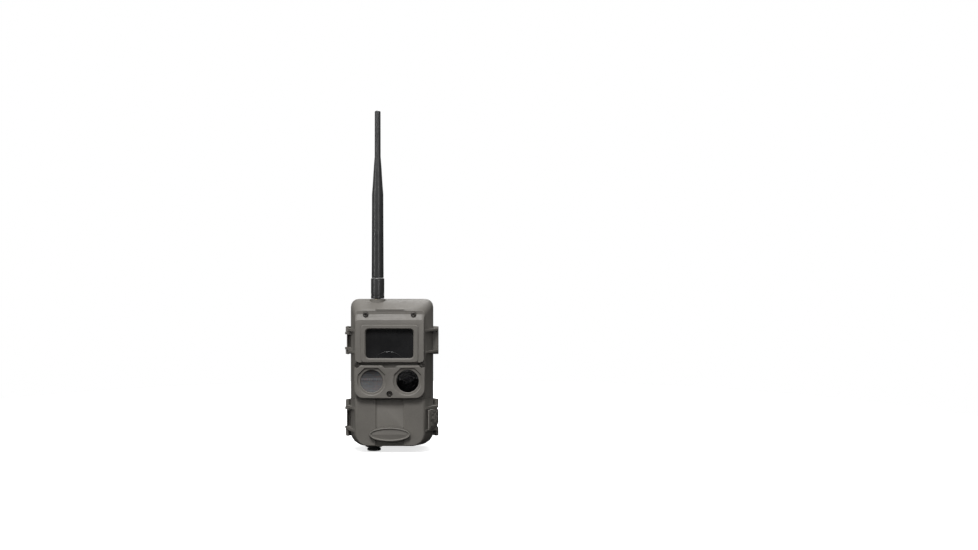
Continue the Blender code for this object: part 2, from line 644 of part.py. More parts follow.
def make_bracket():
    """Plate that stands off the rear case, so a strap passes behind it, with toothed edges."""
    width, thickness, height = BRACKET_SIZE
    bracket = as_object("tree_bracket", slab(width / 2, -height / 2, height / 2, BRACKET_RADIUS,
                                             -thickness, 0), taupe)
    legs = [block((-width / 2 + LEG_INSET[0], width / 2 - LEG_INSET[0]), (-BRACKET_DEPTH, -thickness / 2),
                  sorted((side * (height / 2 - BRACKET_LEG), side * (height / 2 - LEG_INSET[1]))))
            for side in (-1, 1)]
    add(bracket, merge(*legs), "legs")

    notches = []
    count = int((height - TOOTH_ENDS) / TOOTH_PITCH)
    for side in (-1, 1):
        for i in range(count):
            z = (i - (count - 1) / 2) * TOOTH_PITCH
            middle = (side * width / 2, TOOTH_PROUD, z)
            notches.append(turned([(TOOTH, -TOOTH_PITCH), (TOOTH, TOOTH_PITCH)], middle, (1, 0, 0), 4))
    relief = [block(sorted((side * (width / 2 - RELIEF_EDGES[0]), side * (width / 2 - RELIEF_EDGES[1]))),
                    (-RELIEF_DEPTH, MM), (-height / 2 + RELIEF_EDGES[0],
                                          height / 2 - RELIEF_EDGES[0])) for side in (-1, 1)]
    screw_x, screw_z = BRACKET_SCREW
    for x in (-screw_x, screw_x):
        for z in (-screw_z, screw_z):
            relief.append(turned([(BRACKET_BORE, BRACKET_DEPTH + MM), (BRACKET_BORE, BRACKET_WELL[1]),
                                  (BRACKET_WELL[0], BRACKET_WELL[1]),
                                  (BRACKET_WELL[0], -MM)], (x, 0, z), (0, -1, 0), 16))
    cut(bracket, merge(*notches), "teeth")
    cut(bracket, merge(*relief), "relief")
    number = 1
    for x in (-screw_x, screw_x):
        for z in (-screw_z, screw_z):
            make_screw("bracket_screw_%d" % number, (x, -BRACKET_SCREW_SUNK, z), (0, -1, 0),
                       BRACKET_HEAD[0], BRACKET_HEAD[1],
                       BRACKET_SHANK, BRACKET_DEPTH + GAP + WALL - BRACKET_SCREW_END, steel)
            number += 1


def make_screw(name, top, direction, head, head_height, shank, length, finish):
    """Pan-head screw whose head's top is at the given point, with a hexagon socket."""
    edge = 0.35 * MM
    profile = [(head - edge, 0), (head, edge), (head, head_height), (shank, head_height), (shank, length)]
    screw = as_object(name, turned(profile, top, direction, 12), finish)
    cut(screw, drum(head * 0.52, top, direction, -MM, head_height * 0.6, 6), "socket")
    return screw


def make_batteries():
    """Four D cells in two columns, their tray and contacts."""
    wall_z = CELLS_END + CONTACT_ROOM
    floor_y = Y_BACK - WALL - GAP
    half = CASE_WIDTH / 2 - BACK_INSET - REAR_DRAFT - WALL - TRAY_PLAY
    short = wall_z - 2 * MM
    tray = as_object("battery_tray", block((-half, half), (floor_y - TRAY_DEPTH, floor_y), (-short, short)),
                     tray_grey)
    ends = [block((-half + MM, half - MM), (floor_y - TRAY_END_DEPTH, floor_y - TRAY_END_START),
                  sorted((side * (short - MM), side * (wall_z + TRAY_WALL)))) for side in (-1, 1)]
    add(tray, merge(*ends), "end_walls")
    channel = CELL_RADIUS + GAP
    ridge = math.degrees(math.acos(MM / channel))
    shape = (arc(CELL_X, Y_CELLS, channel, 0, 180 - ridge, 10) + arc(-CELL_X, Y_CELLS, channel, ridge, 180,
                                                                     10)
             + [(-CELL_X - channel, -CASE_WIDTH), (CELL_X + channel, -CASE_WIDTH)])
    cut(tray, prism(shape, -wall_z, wall_z), "channels")

    nub_radius, nub_height = CELL_NUB
    edge = 1.2 * MM
    profile = [(CELL_RADIUS - edge, 0), (CELL_RADIUS, edge), (CELL_RADIUS, CELL_LENGTH - nub_height - edge),
               (CELL_RADIUS - edge, CELL_LENGTH - nub_height), (nub_radius, CELL_LENGTH - nub_height),
               (nub_radius, CELL_LENGTH)]
    number = 1
    for side, up in ((-1, 1), (1, -1)):
        for row in (-1, 1):
            start = -up * CELLS_END if row == -up else up * CELL_PLAY / 2
            centre = (side * CELL_X, Y_CELLS, start)
            as_object("battery_cell_%d" % number, turned(profile, centre, (0, 0, up), 20), cell_skin)
            number += 1

    for side, name in ((-1, "left"), (1, "right")):
        make_spring("contact_spring_" + name, side * CELL_X, side * (CELLS_END + GAP), side)
    dimple = CONTACT_ROOM - GAP - 2 * CONTACT_SHEET - DIMPLE_PLAY
    sheet_half = CONTACT_HALF
    for side, name in ((-1, "bottom"), (1, "top")):
        inner = CELLS_END + CONTACT_ROOM - GAP - CONTACT_SHEET
        spans = [(-CELL_X - sheet_half, CELL_X + sheet_half)]
        if side > 0:
            spans = [(-CELL_X - sheet_half, -CELL_X + sheet_half), (CELL_X - sheet_half,
                                                                    CELL_X + sheet_half)]
        for number, span in enumerate(spans):
            label = "contact_plate_" + name + ("_%d" % (number + 1) if side > 0 else "")
            plate = as_object(label, block(span, (Y_CELLS - sheet_half, floor_y - TRAY_DEPTH - GAP),
                                           sorted((side * inner, side * (inner + CONTACT_SHEET)))), steel)
            nub_x = -side * CELL_X
            if span[0] < nub_x < span[1]:
                add(plate, turned([(DIMPLE[0], 0), (DIMPLE[1], dimple + SKIN)],
                                  (nub_x, Y_CELLS, side * (inner - dimple)), (0, 0, side), 16), "dimple")


def make_spring(name, x, z, side):
    """Conical battery spring, wide at its contact plate."""
    turns, steps = 2.25, 9
    wire = SPRING_WIRE
    travel = CONTACT_ROOM - 2 * GAP - CONTACT_SHEET - 2 * wire - GAP
    curve = bpy.data.curves.new(name, "CURVE")
    curve.dimensions = "3D"
    curve.bevel_depth = wire
    curve.bevel_resolution = 1
    curve.use_fill_caps = True
    line = curve.splines.new("POLY")
    count = int(turns * steps) + 1
    line.points.add(count - 1)
    for i in range(count):
        share = i / (count - 1)
        angle = 2 * math.pi * turns * share
        radius = (4.0 + 4.5 * share) * MM
        height = z + side * (wire + travel * share)
        line.points[i].co = (x + radius * math.cos(angle), Y_CELLS + radius * math.sin(angle), height, 1)
    curve.materials.append(steel)
    bpy.context.scene.collection.objects.link(bpy.data.objects.new(name, curve))


def make_pins():
    """Hinge pins and the latch's pin, fixed in the rear case's lugs."""
    for name, x, y, ear in (("hinge_pin_upper", HINGE_X, Y_SPLIT, UPPER_EAR),
                            ("hinge_pin_lower", HINGE_X, Y_SPLIT, LOWER_EAR),
                            ("latch_pin", LATCH_X, Y_LATCH, LOWER_EAR)):
        edge = FINE_EDGE
        low, high = ear[0] - PIN_PROUD, ear[1] + PIN_PROUD
        as_object(name, turned([(PIN_RADIUS - edge, low), (PIN_RADIUS, low + edge),
                                (PIN_RADIUS, high - edge),
                                (PIN_RADIUS - edge, high)], (x, y, 0), (0, 0, 1), 16), dark_steel)


# ---------------------------------------------------------------- door, parented to the hinge

def hinge_arms(target, ear, lugs, name):
    """Two arms of the door that turn on one hinge pin, next to the rear case's lugs."""
    spans = [(ear[0] + lugs[0] + GAP, ear[0] + lugs[0] + GAP + ARM_HEIGHT),
             (ear[1] - lugs[1] - GAP - ARM_HEIGHT, ear[1] - lugs[1] - GAP)]
    front = Y_SPLIT - EAR_ROOT
    nose = arc(HINGE_X, Y_SPLIT, ARM_RADIUS, 20, 190, 8)
    shape = nose + [(-wall_x(front) - ARM_FOOT, front), (-wall_x(front) + WALL / 2, front),
                    (-wall_x(Y_DOOR) + WALL / 2, Y_DOOR), (-wall_x(Y_DOOR) - SKIN, Y_DOOR)]
    arms = [prism(shape, low, high) for low, high in spans]
    add(target, merge(*arms), name)
    return [drum(PIN_HOLE, (HINGE_X, Y_SPLIT, 0), (0, 0, 1), low - MM, high + MM, 16) for low, high in spans]


def cover_bosses(target, x, z, name):
    """Two bosses that the inner cover screws into, and their holes."""
    start = Y_SPLIT - Y_DISH_FRONT + GAP
    bosses = [drum(BOSS_RADIUS, (side * x, Y_SPLIT, z), (0, -1, 0), start, start + BOSS_LENGTH, 16)
              for side in (-1, 1)]
    add(target, merge(*bosses), name)
    return [drum(SCREW_SHANK + GAP, (side * x, Y_SPLIT, z), (0, -1, 0), start - MM, start + BOSS_HOLE, 12)
            for side in (-1, 1)]


def make_front_housing():
    """Upper shell of the door, behind both bezels."""
    housing = front_shell("front_housing", taupe)
    far = CASE_WIDTH
    cut(housing, block((-far, far), (Y_FACE - far, 0), (-2 * far, SEAM_Z + GAP / 2)), "seam")
    for side, name in ((-1, "left"), (1, "right")):
        shape = ribs(side)
        add(housing, merge(*[prism(shape, z - RIB / 2, z + RIB / 2) for z in UPPER_RIBS]), "ribs_" + name)
    flange = [(wall_x(y) - WALL / 2, y) for y in (Y_DOOR, Y_DOOR - LOCK_FLAT)]
    flange += [(EAR_REACH - LOCK_SLOPE, Y_DOOR - LOCK_FLAT), (EAR_REACH, Y_DOOR - LOCK_LIP),
               (EAR_REACH, Y_DOOR)]
    add(housing, prism(flange, *UPPER_EAR), "lock_flange")
    holes = hinge_arms(housing, UPPER_EAR, UPPER_LUGS, "hinge_arms")
    holes += cover_bosses(housing, *COVER_SCREWS[0], "bosses")

    face_top = TOP - FACE_TOP_DROP
    visor = block((-VISOR_WIDTH / 2, VISOR_WIDTH / 2), (Y_FACE - VISOR_PROUD, Y_FACE + WALL / 2),
                  (FLASH_FLANGE_TOP + GAP, face_top + VISOR_RISE))
    add(housing, visor, "visor")

    pad = COLLAR_RADIUS + PAD_MARGIN
    shape = arc(ANTENNA_X, Y_ANTENNA, pad, 180, 360, 14) + [(ANTENNA_X + pad, Y_DOOR),
                                                            (ANTENNA_X - pad, Y_DOOR)]
    add(housing, prism(shape, TOP - PAD_HEIGHT, TOP), "antenna_pad")
    holes.append(block((ANTENNA_X - pad - MM, ANTENNA_X + pad + MM), (Y_SPLIT - COVER_ROOM, 0),
                       (TOP - PAD_POCKET, TOP - WALL - HAIR)))
    holes.append(drum(JACK_RADIUS + GAP, (ANTENNA_X, Y_ANTENNA, TOP), (0, 0, 1), -JACK_HOLE, MM, 20))
    flash_half = WINDOW_WIDTH / 2 + FLASH_HOLE_PLAY
    holes.append(slab(flash_half, WINDOW_Z - WINDOW_HEIGHT / 2 - FLASH_HOLE_PLAY,
                      WINDOW_Z + WINDOW_HEIGHT / 2 + FLASH_HOLE_PLAY,
                      WINDOW_RADIUS, Y_FACE - MM, Y_FACE + WALL + MM, 2))
    for side in (-1, 1):
        holes.append(drum(EYE_RADIUS - EYE_LIP, (side * EYE_X, Y_FACE, EYE_Z), (0, 1, 0), -MM, WALL + MM))
    for x, z in front_screws():
        holes.append(drum(SCREW_SHANK + GAP, (x, Y_FACE, z), (0, 1, 0), -MM, SCREW_HOLE, 12))
    cut(housing, merge(*holes), "holes")
    return housing


def front_screws():
    ux, uz = UPPER_SCREW
    mx, mz = MIDDLE_SCREW
    return [(-ux, uz), (ux, uz), (-mx, mz), (mx, mz), LOWER_SCREW]


def screw_well(x, z):
    """Cutter for a front screw's counterbore and hole in a bezel."""
    head, shank = SCREW_HEAD + WELL_PLAY, SCREW_SHANK + GAP
    profile = [(shank, -MM), (shank, WELL_FLOOR), (head, WELL_FLOOR), (head, 2 * BEZEL_PROUD)]
    return turned(profile, (x, Y_BEZEL, z), (0, -1, 0), 20)


def make_channel(cover):
    """Recess down the middle of the lower cover, level only where the badge sits."""
    half = CHANNEL_WIDTH / 2
    back_y = Y_FACE + WALL
    stiffener = block((-half - WALL / 2, half + WALL / 2), (back_y - WALL / 2, back_y + CHANNEL_DEPTH),
                      (-TOP + WALL / 2, SEAM_Z - GAP / 2))
    add(cover, stiffener, "channel_back")
    low, top = -TOP - MM, SEAM_Z + MM
    floor_y = Y_FACE + CHANNEL_DEPTH
    slope = [[(-half - MM, Y_FACE - MM, z), (half + MM, Y_FACE - MM, z), (half - CHANNEL_DEPTH, floor_y, z),
              (-half + CHANNEL_DEPTH, floor_y, z)] for z in (low, top)]
    cut(cover, loft(slope), "channel")
    width, height = BADGE_SIZE
    steps = 28
    land = [[((width / 2 + BADGE_LAND) * math.cos(2 * math.pi * i / steps), y,
              BADGE_Z + (height / 2 + BADGE_LAND) * math.sin(2 * math.pi * i / steps)) for i in range(steps)]
            for y in (Y_FACE, Y_FACE + WALL - GAP)]
    add(cover, loft(land), "badge_land")


def make_lower_cover():
    """Lower shell of the door, with its ears, grooves and the port at its bottom."""
    cover = front_shell("lower_cover", taupe)
    far = CASE_WIDTH
    cut(cover, block((-far, far), (Y_FACE - far, 0), (SEAM_Z - GAP / 2, 2 * far)), "seam")
    for side, name in ((-1, "left"), (1, "right")):
        shape = ribs(side)
        add(cover, merge(*[prism(shape, z - RIB / 2, z + RIB / 2) for z in LOWER_RIBS]), "ribs_" + name)
    holes = hinge_arms(cover, LOWER_EAR, LOWER_LUGS, "hinge_arms")
    x, z = COVER_SCREWS[1]
    gusset_y = (Y_DISH_FRONT - GAP - BOSS_LENGTH, Y_DISH_FRONT - GAP)
    gussets = [block((side * x - BOSS_GUSSET / 2, side * x + BOSS_GUSSET / 2), gusset_y,
                     (-TOP + WALL / 2, z))
               for side in (-1, 1)]
    add(cover, merge(*gussets), "gussets")
    holes += cover_bosses(cover, x, z, "bosses")
    boss = PORT_BOSS
    add(cover, drum(boss, (PORT_X, Y_PORT, -TOP), (0, 0, 1), 0, PORT_BOSS_HEIGHT, 28), "port_boss")
    holes.append(block((PORT_X - boss - MM, PORT_X + boss + MM), (Y_SPLIT - COVER_ROOM, 0),
                       (-TOP + WALL + HAIR, -TOP + PORT_POCKET)))
    holes.append(drum(PORT_RADIUS + GAP, (PORT_X, Y_PORT, -TOP), (0, 0, 1), -MM, PORT_HOLE, 20))
    cut(cover, merge(*holes), "holes")
    make_channel(cover)

    width, height = BADGE_SIZE
    steps = 28
    rings = []
    for y, share in ((Y_FACE - GAP, 1.0), (Y_FACE - BADGE_THICKNESS + BADGE_EDGE, 1.0),
                     (Y_FACE - BADGE_THICKNESS, 0.97), (Y_FACE - BADGE_THICKNESS, 0.9),
                     (Y_FACE - BADGE_THICKNESS + BADGE_EDGE, 0.88)):
        angles = [2 * math.pi * i / steps for i in range(steps)]
        rings.append([(share * width / 2 * math.cos(angle), y, BADGE_Z + share * height / 2 * math.sin(angle))
                      for angle in angles])
    as_object("badge_plate", loft(rings), bezel_taupe)
    return cover


def make_flash_bezel():
    """Upper bezel: frame around the flash window, with a slope above it for the upper screws."""
    half = FLASH_WIDTH / 2
    radius = FLASH_RADIUS
    edge = BEZEL_EDGE
    step_y = Y_BEZEL - FLASH_FLANGE
    rings = [outline(half, FLASH_BOTTOM, FLASH_FLANGE_TOP, radius, radius, Y_BEZEL),
             outline(half, FLASH_BOTTOM, FLASH_FLANGE_TOP, radius, radius, step_y),
             outline(half, FLASH_BOTTOM, FLASH_TOP, radius, radius, step_y - FINE_STEP),
             outline(half - edge / 2, FLASH_BOTTOM + edge / 2, FLASH_FACE_TOP + edge, radius, radius,
                     Y_BEZEL_FACE + edge),
             outline(half - edge, FLASH_BOTTOM + edge, FLASH_FACE_TOP, radius, radius, Y_BEZEL_FACE)]
    bezel = as_object("flash_bezel", loft(rings), bezel_taupe)
    frame_half = FLASH_FRAME_WIDTH / 2
    frame = [outline(frame_half, FLASH_BOTTOM + edge, FLASH_FRAME_TOP, radius, radius, Y_BEZEL_FACE + MM),
             outline(frame_half, FLASH_BOTTOM + edge, FLASH_FRAME_TOP, radius, radius,
                     Y_BEZEL_FACE - FLASH_FRAME_PROUD + FRAME_EDGE),
             outline(frame_half - FRAME_EDGE, FLASH_BOTTOM + edge + FRAME_EDGE,
                     FLASH_FRAME_TOP - FRAME_EDGE, radius,
                     radius, Y_BEZEL_FACE - FLASH_FRAME_PROUD)]
    add(bezel, loft(frame), "inner_frame")

    rebate = WINDOW_REBATE + GAP
    low, top = WINDOW_Z - WINDOW_HEIGHT / 2, WINDOW_Z + WINDOW_HEIGHT / 2
    flare = WINDOW_FLARE
    opening = [outline(WINDOW_WIDTH / 2, low, top, WINDOW_RADIUS, WINDOW_RADIUS, Y_BEZEL + MM),
               outline(WINDOW_WIDTH / 2, low, top, WINDOW_RADIUS, WINDOW_RADIUS,
                       Y_BEZEL_FACE + WINDOW_STRAIGHT),
               outline(WINDOW_WIDTH / 2 + flare, low - flare, top + flare, WINDOW_RADIUS + flare,
                       WINDOW_RADIUS + flare, Y_BEZEL_FACE - FLASH_FRAME_PROUD - SKIN)]
    cut(bezel, loft(opening), "opening")
    cut(bezel, slab(WINDOW_WIDTH / 2 + rebate, low - rebate, top + rebate, WINDOW_RADIUS,
                    Y_BEZEL - PANE - GAP, Y_BEZEL + MM, 2), "rebate")
    holes = []
    for x, z in front_screws()[:4]:
        holes.append(screw_well(x, z))
    cut(bezel, merge(*holes), "screw_wells")

    as_object("flash_window", slab(WINDOW_WIDTH / 2 + WINDOW_REBATE, low - WINDOW_REBATE,
                                   top + WINDOW_REBATE,
                                   WINDOW_RADIUS, Y_BEZEL - PANE, Y_BEZEL, 2), smoked)


def eye_pocket(x):
    """Cutter for the shallow pocket around an opening: round below, with two chamfers above."""
    radius, height = EYE_POCKET
    rings = []
    for y, grow in ((Y_BEZEL_FACE - MM, EYE_EDGE + MM / 2), (Y_BEZEL_FACE + EYE_POCKET_DEPTH, -EYE_EDGE)):
        wide, high = radius + grow, height + grow
        shape = arc(0, 0, wide, 15, -195, 20)
        side_x = shape[0][0]
        flat = side_x / 2
        shape += [(-side_x, high - side_x + flat), (-flat, high), (flat, high),
                  (side_x, high - side_x + flat)]
        rings.append([(x + dx, y, EYE_Z + dz) for dx, dz in shape])
    return loft(rings)


def make_sensor_bezel():
    """Lower bezel: the motion sensor's opening on the left and the lens's on the right."""
    half = SENSOR_WIDTH / 2
    edge = BEZEL_EDGE
    top_radius = SENSOR_TOP_RADIUS
    rings = [outline(half - inset, SENSOR_BOTTOM + inset, SENSOR_TOP - inset, SENSOR_LOW_RADIUS - inset,
                     top_radius - inset, y, 6)
             for y, inset in ((Y_BEZEL, 0), (Y_BEZEL_FACE + edge, SENSOR_DRAFT),
                              (Y_BEZEL_FACE, edge + SENSOR_DRAFT))]
    bezel = as_object("sensor_bezel", loft(rings), bezel_taupe)
    holes = []
    for side in (-1, 1):
        holes.append(eye_pocket(side * EYE_X))
    cut(bezel, merge(*holes), "pockets")
    floor_y = Y_BEZEL_FACE + EYE_POCKET_DEPTH
    wide = EYE_RADIUS + EYE_EDGE
    holes = [turned([(wide + SKIN, -SKIN), (EYE_RADIUS, EYE_EDGE), (EYE_RADIUS, BEZEL_PROUD)],
                    (side * EYE_X, floor_y, EYE_Z), (0, 1, 0), 32) for side in (-1, 1)]
    cut(bezel, merge(*holes), "eyes")
    seats = [drum(EYE_RADIUS + EYE_REBATE + GAP, (side * EYE_X, Y_BEZEL, EYE_Z), (0, 1, 0), -PANE - GAP,
                  MM, 32)
             for side in (-1, 1)]
    cut(bezel, merge(*seats), "seats")
    holes = []
    for x, z in front_screws()[2:]:
        holes.append(screw_well(x, z))
    notch = NOTCH_WIDTH / 2
    shape = [(-notch - MM, SENSOR_TOP + MM), (notch + MM, SENSOR_TOP + MM),
             (notch - NOTCH_SLOPE, SENSOR_TOP - NOTCH_DEPTH),
             (-notch + NOTCH_SLOPE, SENSOR_TOP - NOTCH_DEPTH)]
    holes.append(loft([[(x, y, z) for x, z in shape] for y in (Y_BEZEL_FACE - MM, Y_BEZEL - MM)]))
    cut(bezel, merge(*holes), "wells_and_notch")

    pane = EYE_RADIUS + EYE_REBATE
    film = [(pane, 0), (pane, PANE - FILM_STEP), (EYE_RADIUS - FILM_MARGIN, PANE - FILM_STEP)]
    dome = FILM_DOME
    steps = 4
    for i in range(1, steps + 1):
        share = 1 - i / steps
        height = PANE - FILM_STEP + dome * (1 - share * share)
        film.append(((EYE_RADIUS - FILM_MARGIN) * share if i < steps else 0, height))
    as_object("pir_lens", turned(film, (-EYE_X, Y_BEZEL, EYE_Z), (0, -1, 0), 32), fresnel)
    as_object("camera_window", drum(pane, (EYE_X, Y_BEZEL, EYE_Z), (0, -1, 0), 0, PANE, 32), clear)


def make_front_screws():
    for number, (x, z) in enumerate(front_screws(), 1):
        head_y = Y_BEZEL - WELL_FLOOR - GAP - SCREW_HEAD_HEIGHT
        make_screw("front_screw_%d" % number, (x, head_y, z), (0, 1, 0), SCREW_HEAD, SCREW_HEAD_HEIGHT,
                   SCREW_SHANK, Y_FACE + FRONT_SCREW_REACH - head_y, dark_steel)


def make_optics():
    """Lens, motion sensor, flash board and main board, inside the door."""
    width, height = BOARD_SIZE
    as_object("main_board", slab(width / 2, BOARD_Z - height / 2, BOARD_Z + height / 2, BOARD_RADIUS,
                                 Y_BOARD,
                                 Y_BOARD_BACK, 2), board_green)
    barrel_front = Y_FACE + BARREL_SETBACK
    length = Y_BOARD - GAP - barrel_front
    rim = EYE_RADIUS - EYE_LIP - BARREL_PLAY
    body = rim - BARREL_RIM[0]
    glass = rim / 2 - GLASS_PLAY
    profile = [(rim - BARREL_EDGE, 0), (rim, BARREL_EDGE), (rim, BARREL_RIM[1]),
               (body, BARREL_RIM[1] + BARREL_EDGE), (body, length)]
    barrel = as_object("lens_barrel", turned(profile, (EYE_X, barrel_front, EYE_Z), (0, 1, 0), 28),
                       black_plastic)
    cut(barrel, turned([(rim - BARREL_LIP, -MM), (glass + GLASS_SEAT, BARREL_FUNNEL),
                        (glass + GLASS_SEAT, BARREL_BORE)],
                       (EYE_X, barrel_front, EYE_Z), (0, 1, 0), 28), "cone")
    as_object("lens_element", turned([(glass, GLASS_DEPTHS[0]), (glass, GLASS_DEPTHS[1]),
                                      (glass * 0.62, GLASS_DEPTHS[2]), (0, GLASS_DEPTHS[3])],
                                     (EYE_X, barrel_front, EYE_Z), (0, 1, 0), 24), clear)
    can = CAN_RADIUS
    as_object("pir_sensor", turned([(can, 0), (can, CAN_HEIGHT), (can + CAN_BRIM[0], CAN_HEIGHT),
                                    (can + CAN_BRIM[0], CAN_HEIGHT + CAN_BRIM[1])],
                                    (-EYE_X, Y_BOARD - GAP - CAN_HEIGHT - CAN_BRIM[1], EYE_Z),
                                   (0, 1, 0), 24), steel)
    led_y = Y_FACE + WALL + LED_ROOM
    half = WINDOW_WIDTH / 2 + LED_MARGIN
    low = WINDOW_Z - WINDOW_HEIGHT / 2 - MM
    top = WINDOW_Z + WINDOW_HEIGHT / 2 + MM
    as_object("flash_board", slab(half, low, top, BOARD_RADIUS, led_y, led_y + BOARD_THICKNESS, 2),
              black_plastic)
    sill = WINDOW_Z - WINDOW_HEIGHT / 2 + HOOD_LIFT
    hood_radius, hood_z = HOOD_RADIUS, WINDOW_Z - WINDOW_HEIGHT / 2 + HOOD_RISE - HOOD_RADIUS
    reach = math.degrees(math.asin((sill - hood_z) / hood_radius))
    shape = arc(-MM, hood_z, hood_radius, reach, 180 - reach, 16)
    as_object("photocell_hood", loft([[(x, y, z) for x, z in shape] for y in (Y_FACE + GAP, led_y - GAP)]),
              black_plastic)


def make_inner_cover():
    """Dished cover on the back of the door; the controls are in its dish."""
    def dish(y, grow):
        radius = DISH_RADIUS + grow
        return outline(DISH_HALF + grow, -DISH_TOP - grow, DISH_TOP + grow, radius, radius, y)

    def edge(y, inset):
        return outline(CASE_WIDTH / 2 - inset, -TOP + inset, TOP - inset, BOTTOM_RADIUS - inset,
                       TOP_RADIUS - inset, y)

    step_y = Y_COVER - COVER_LEDGE
    front_y = Y_COVER - COVER_THICKNESS
    rings = [dish(Y_DISH, 0), dish(Y_COVER, 0), edge(Y_COVER, COVER_STEP), edge(step_y, COVER_STEP),
             edge(step_y, COVER_EDGE), edge(front_y, COVER_EDGE), dish(front_y, DISH_WALL),
             dish(Y_DISH_FRONT, DISH_WALL)]
    cover = as_object("inner_cover", loft(rings), black_plastic)
    posts = [drum(COVER_POST, (side * x, Y_COVER, z), (0, -1, 0), COVER_THICKNESS / 2,
                  Y_COVER - Y_DISH_FRONT - GAP, 16) for x, z in COVER_SCREWS for side in (-1, 1)]
    add(cover, merge(*posts), "screw_posts")
    seal = [edge(step_y + GAP - SEAL_SQUEEZE, SEAL_EDGES[0]), edge(Y_SPLIT - SEAL_SETBACK, SEAL_EDGES[0]),
            edge(Y_SPLIT - SEAL_SETBACK, SEAL_EDGES[1]), edge(step_y + GAP - SEAL_SQUEEZE, SEAL_EDGES[1])]
    as_object("case_seal", loft(seal, closed=True), seal_rubber)

    holes = [slab(LCD_SIZE[0] / 2 + GAP, LCD_Z - LCD_SIZE[1] / 2 - GAP, LCD_Z + LCD_SIZE[1] / 2 + GAP,
                  LCD_RADIUS + GAP,
                  Y_DISH_FRONT - MM, Y_DISH + MM, 2)]
    for x, z in button_places().values():
        holes.append(drum(BUTTON_RADIUS + SLIDE, (x, Y_DISH, z), (0, 1, 0), -DISH_WALL - MM, MM, 20))
    slot_x, slot_z = SWITCH_SLOT
    holes.append(slab(slot_x / 2, SWITCH_Z - slot_z / 2, SWITCH_Z + slot_z / 2, SWITCH_SLOT_RADIUS,
                      Y_DISH_FRONT - MM,
                      Y_DISH + MM, 2))
    holes.append(slab(CARD_OPENING[0], CARD_Z - CARD_OPENING[1], CARD_Z + CARD_OPENING[1], BOARD_RADIUS,
                      Y_DISH_FRONT - MM, Y_DISH + MM, 3))
    shift = CARD_SIZE[0] / 2 - CARD_OUT + CARD_MARGIN
    for vert in holes[-1].verts:
        vert.co.x += shift
    for x, z in COVER_SCREWS:
        for side in (-1, 1):
            holes.append(turned([(SCREW_SHANK + GAP, DISH_DEPTH + DISH_WALL + MM),
                                 (SCREW_SHANK + GAP, COVER_WELL),
                                 (COVER_SCREW_HEAD + GAP, COVER_WELL), (COVER_SCREW_HEAD + GAP, -MM)],
                                (side * x, Y_COVER, z), (0, -1, 0), 12))
    cut(cover, merge(*holes), "holes")
    number = 1
    for x, z in COVER_SCREWS:
        for side in (-1, 1):
            make_screw("cover_screw_%d" % number, (side * x, Y_COVER - COVER_SCREW_SUNK, z), (0, -1, 0),
                       COVER_SCREW_HEAD,
                       COVER_HEAD_HEIGHT, SCREW_SHANK - COVER_SCREW_SUNK, COVER_SCREW_LENGTH, steel)
            number += 1
    as_object("display", slab(LCD_SIZE[0] / 2, LCD_Z - LCD_SIZE[1] / 2, LCD_Z + LCD_SIZE[1] / 2, LCD_RADIUS,
                              Y_DISH_FRONT - LCD_DEPTHS[0], Y_DISH - LCD_DEPTHS[1], 2), display)


def button_places():
    return {"button_up": (0, BUTTON_Z + BUTTON_PITCH), "button_down": (0, BUTTON_Z - BUTTON_PITCH),
            "button_left": (-BUTTON_PITCH, BUTTON_Z), "button_right": (BUTTON_PITCH, BUTTON_Z),
            "button_ok": (0, BUTTON_Z)}


def make_controls():
    """Buttons, power switch, memory card and its slot."""
    edge = BUTTON_EDGE
    for name, (x, z) in button_places().items():
        flange_y = -DISH_WALL - GAP
        profile = [(BUTTON_FLANGE, flange_y - BUTTON_FLANGE_HEIGHT), (BUTTON_FLANGE, flange_y),
                   (BUTTON_RADIUS, flange_y),
                   (BUTTON_RADIUS, BUTTON_PROUD - edge), (BUTTON_RADIUS - edge, BUTTON_PROUD)]
        as_object(name, turned(profile, (x, Y_DISH, z), (0, 1, 0), 16), key_rubber)
    slot_x, slot_z = SWITCH_SLOT
    knob = SWITCH_HALF
    start = -slot_x / 2 + SLIDE
    switch = as_object("power_switch", block((start, start + 2 * knob),
                                             (Y_DISH_FRONT - SWITCH_FOOT[0], Y_DISH + MM),
                                             (SWITCH_Z - slot_z / 2 + SLIDE,
                                              SWITCH_Z + slot_z / 2 - SLIDE)), key_rubber)
    add(switch, block((start - SWITCH_FOOT[1], start + 2 * knob + SWITCH_FOOT[1]),
                      (Y_DISH_FRONT - SWITCH_FOOT[1], Y_DISH_FRONT - GAP),
                      (SWITCH_Z - slot_z / 2 - MM, SWITCH_Z + slot_z / 2 + MM)), "foot")

    length, thickness, width = CARD_SIZE
    card_y = (Y_BOARD_BACK + CARD_ROOM, Y_BOARD_BACK + CARD_ROOM + thickness)
    card_x = (-length / 2, length / 2)
    card_z = (CARD_Z - width / 2, CARD_Z + width / 2)
    as_object("memory_card", block(card_x, card_y, card_z), card_blue)
    play = SLIDE
    slot = as_object("card_slot", block((card_x[0] - SLOT_WALLS[0], card_x[1] - CARD_OUT),
                                        (card_y[0] - SLOT_WALLS[1], card_y[1] + MM),
                                        (card_z[0] - SLOT_WALLS[2], card_z[1] + SLOT_WALLS[2])), steel)
    cut(slot, block((card_x[0] - CARD_TRAVEL, card_x[1]), (card_y[0] - play, card_y[1] + play),
                    (card_z[0] - play, card_z[1] + play)), "mouth")


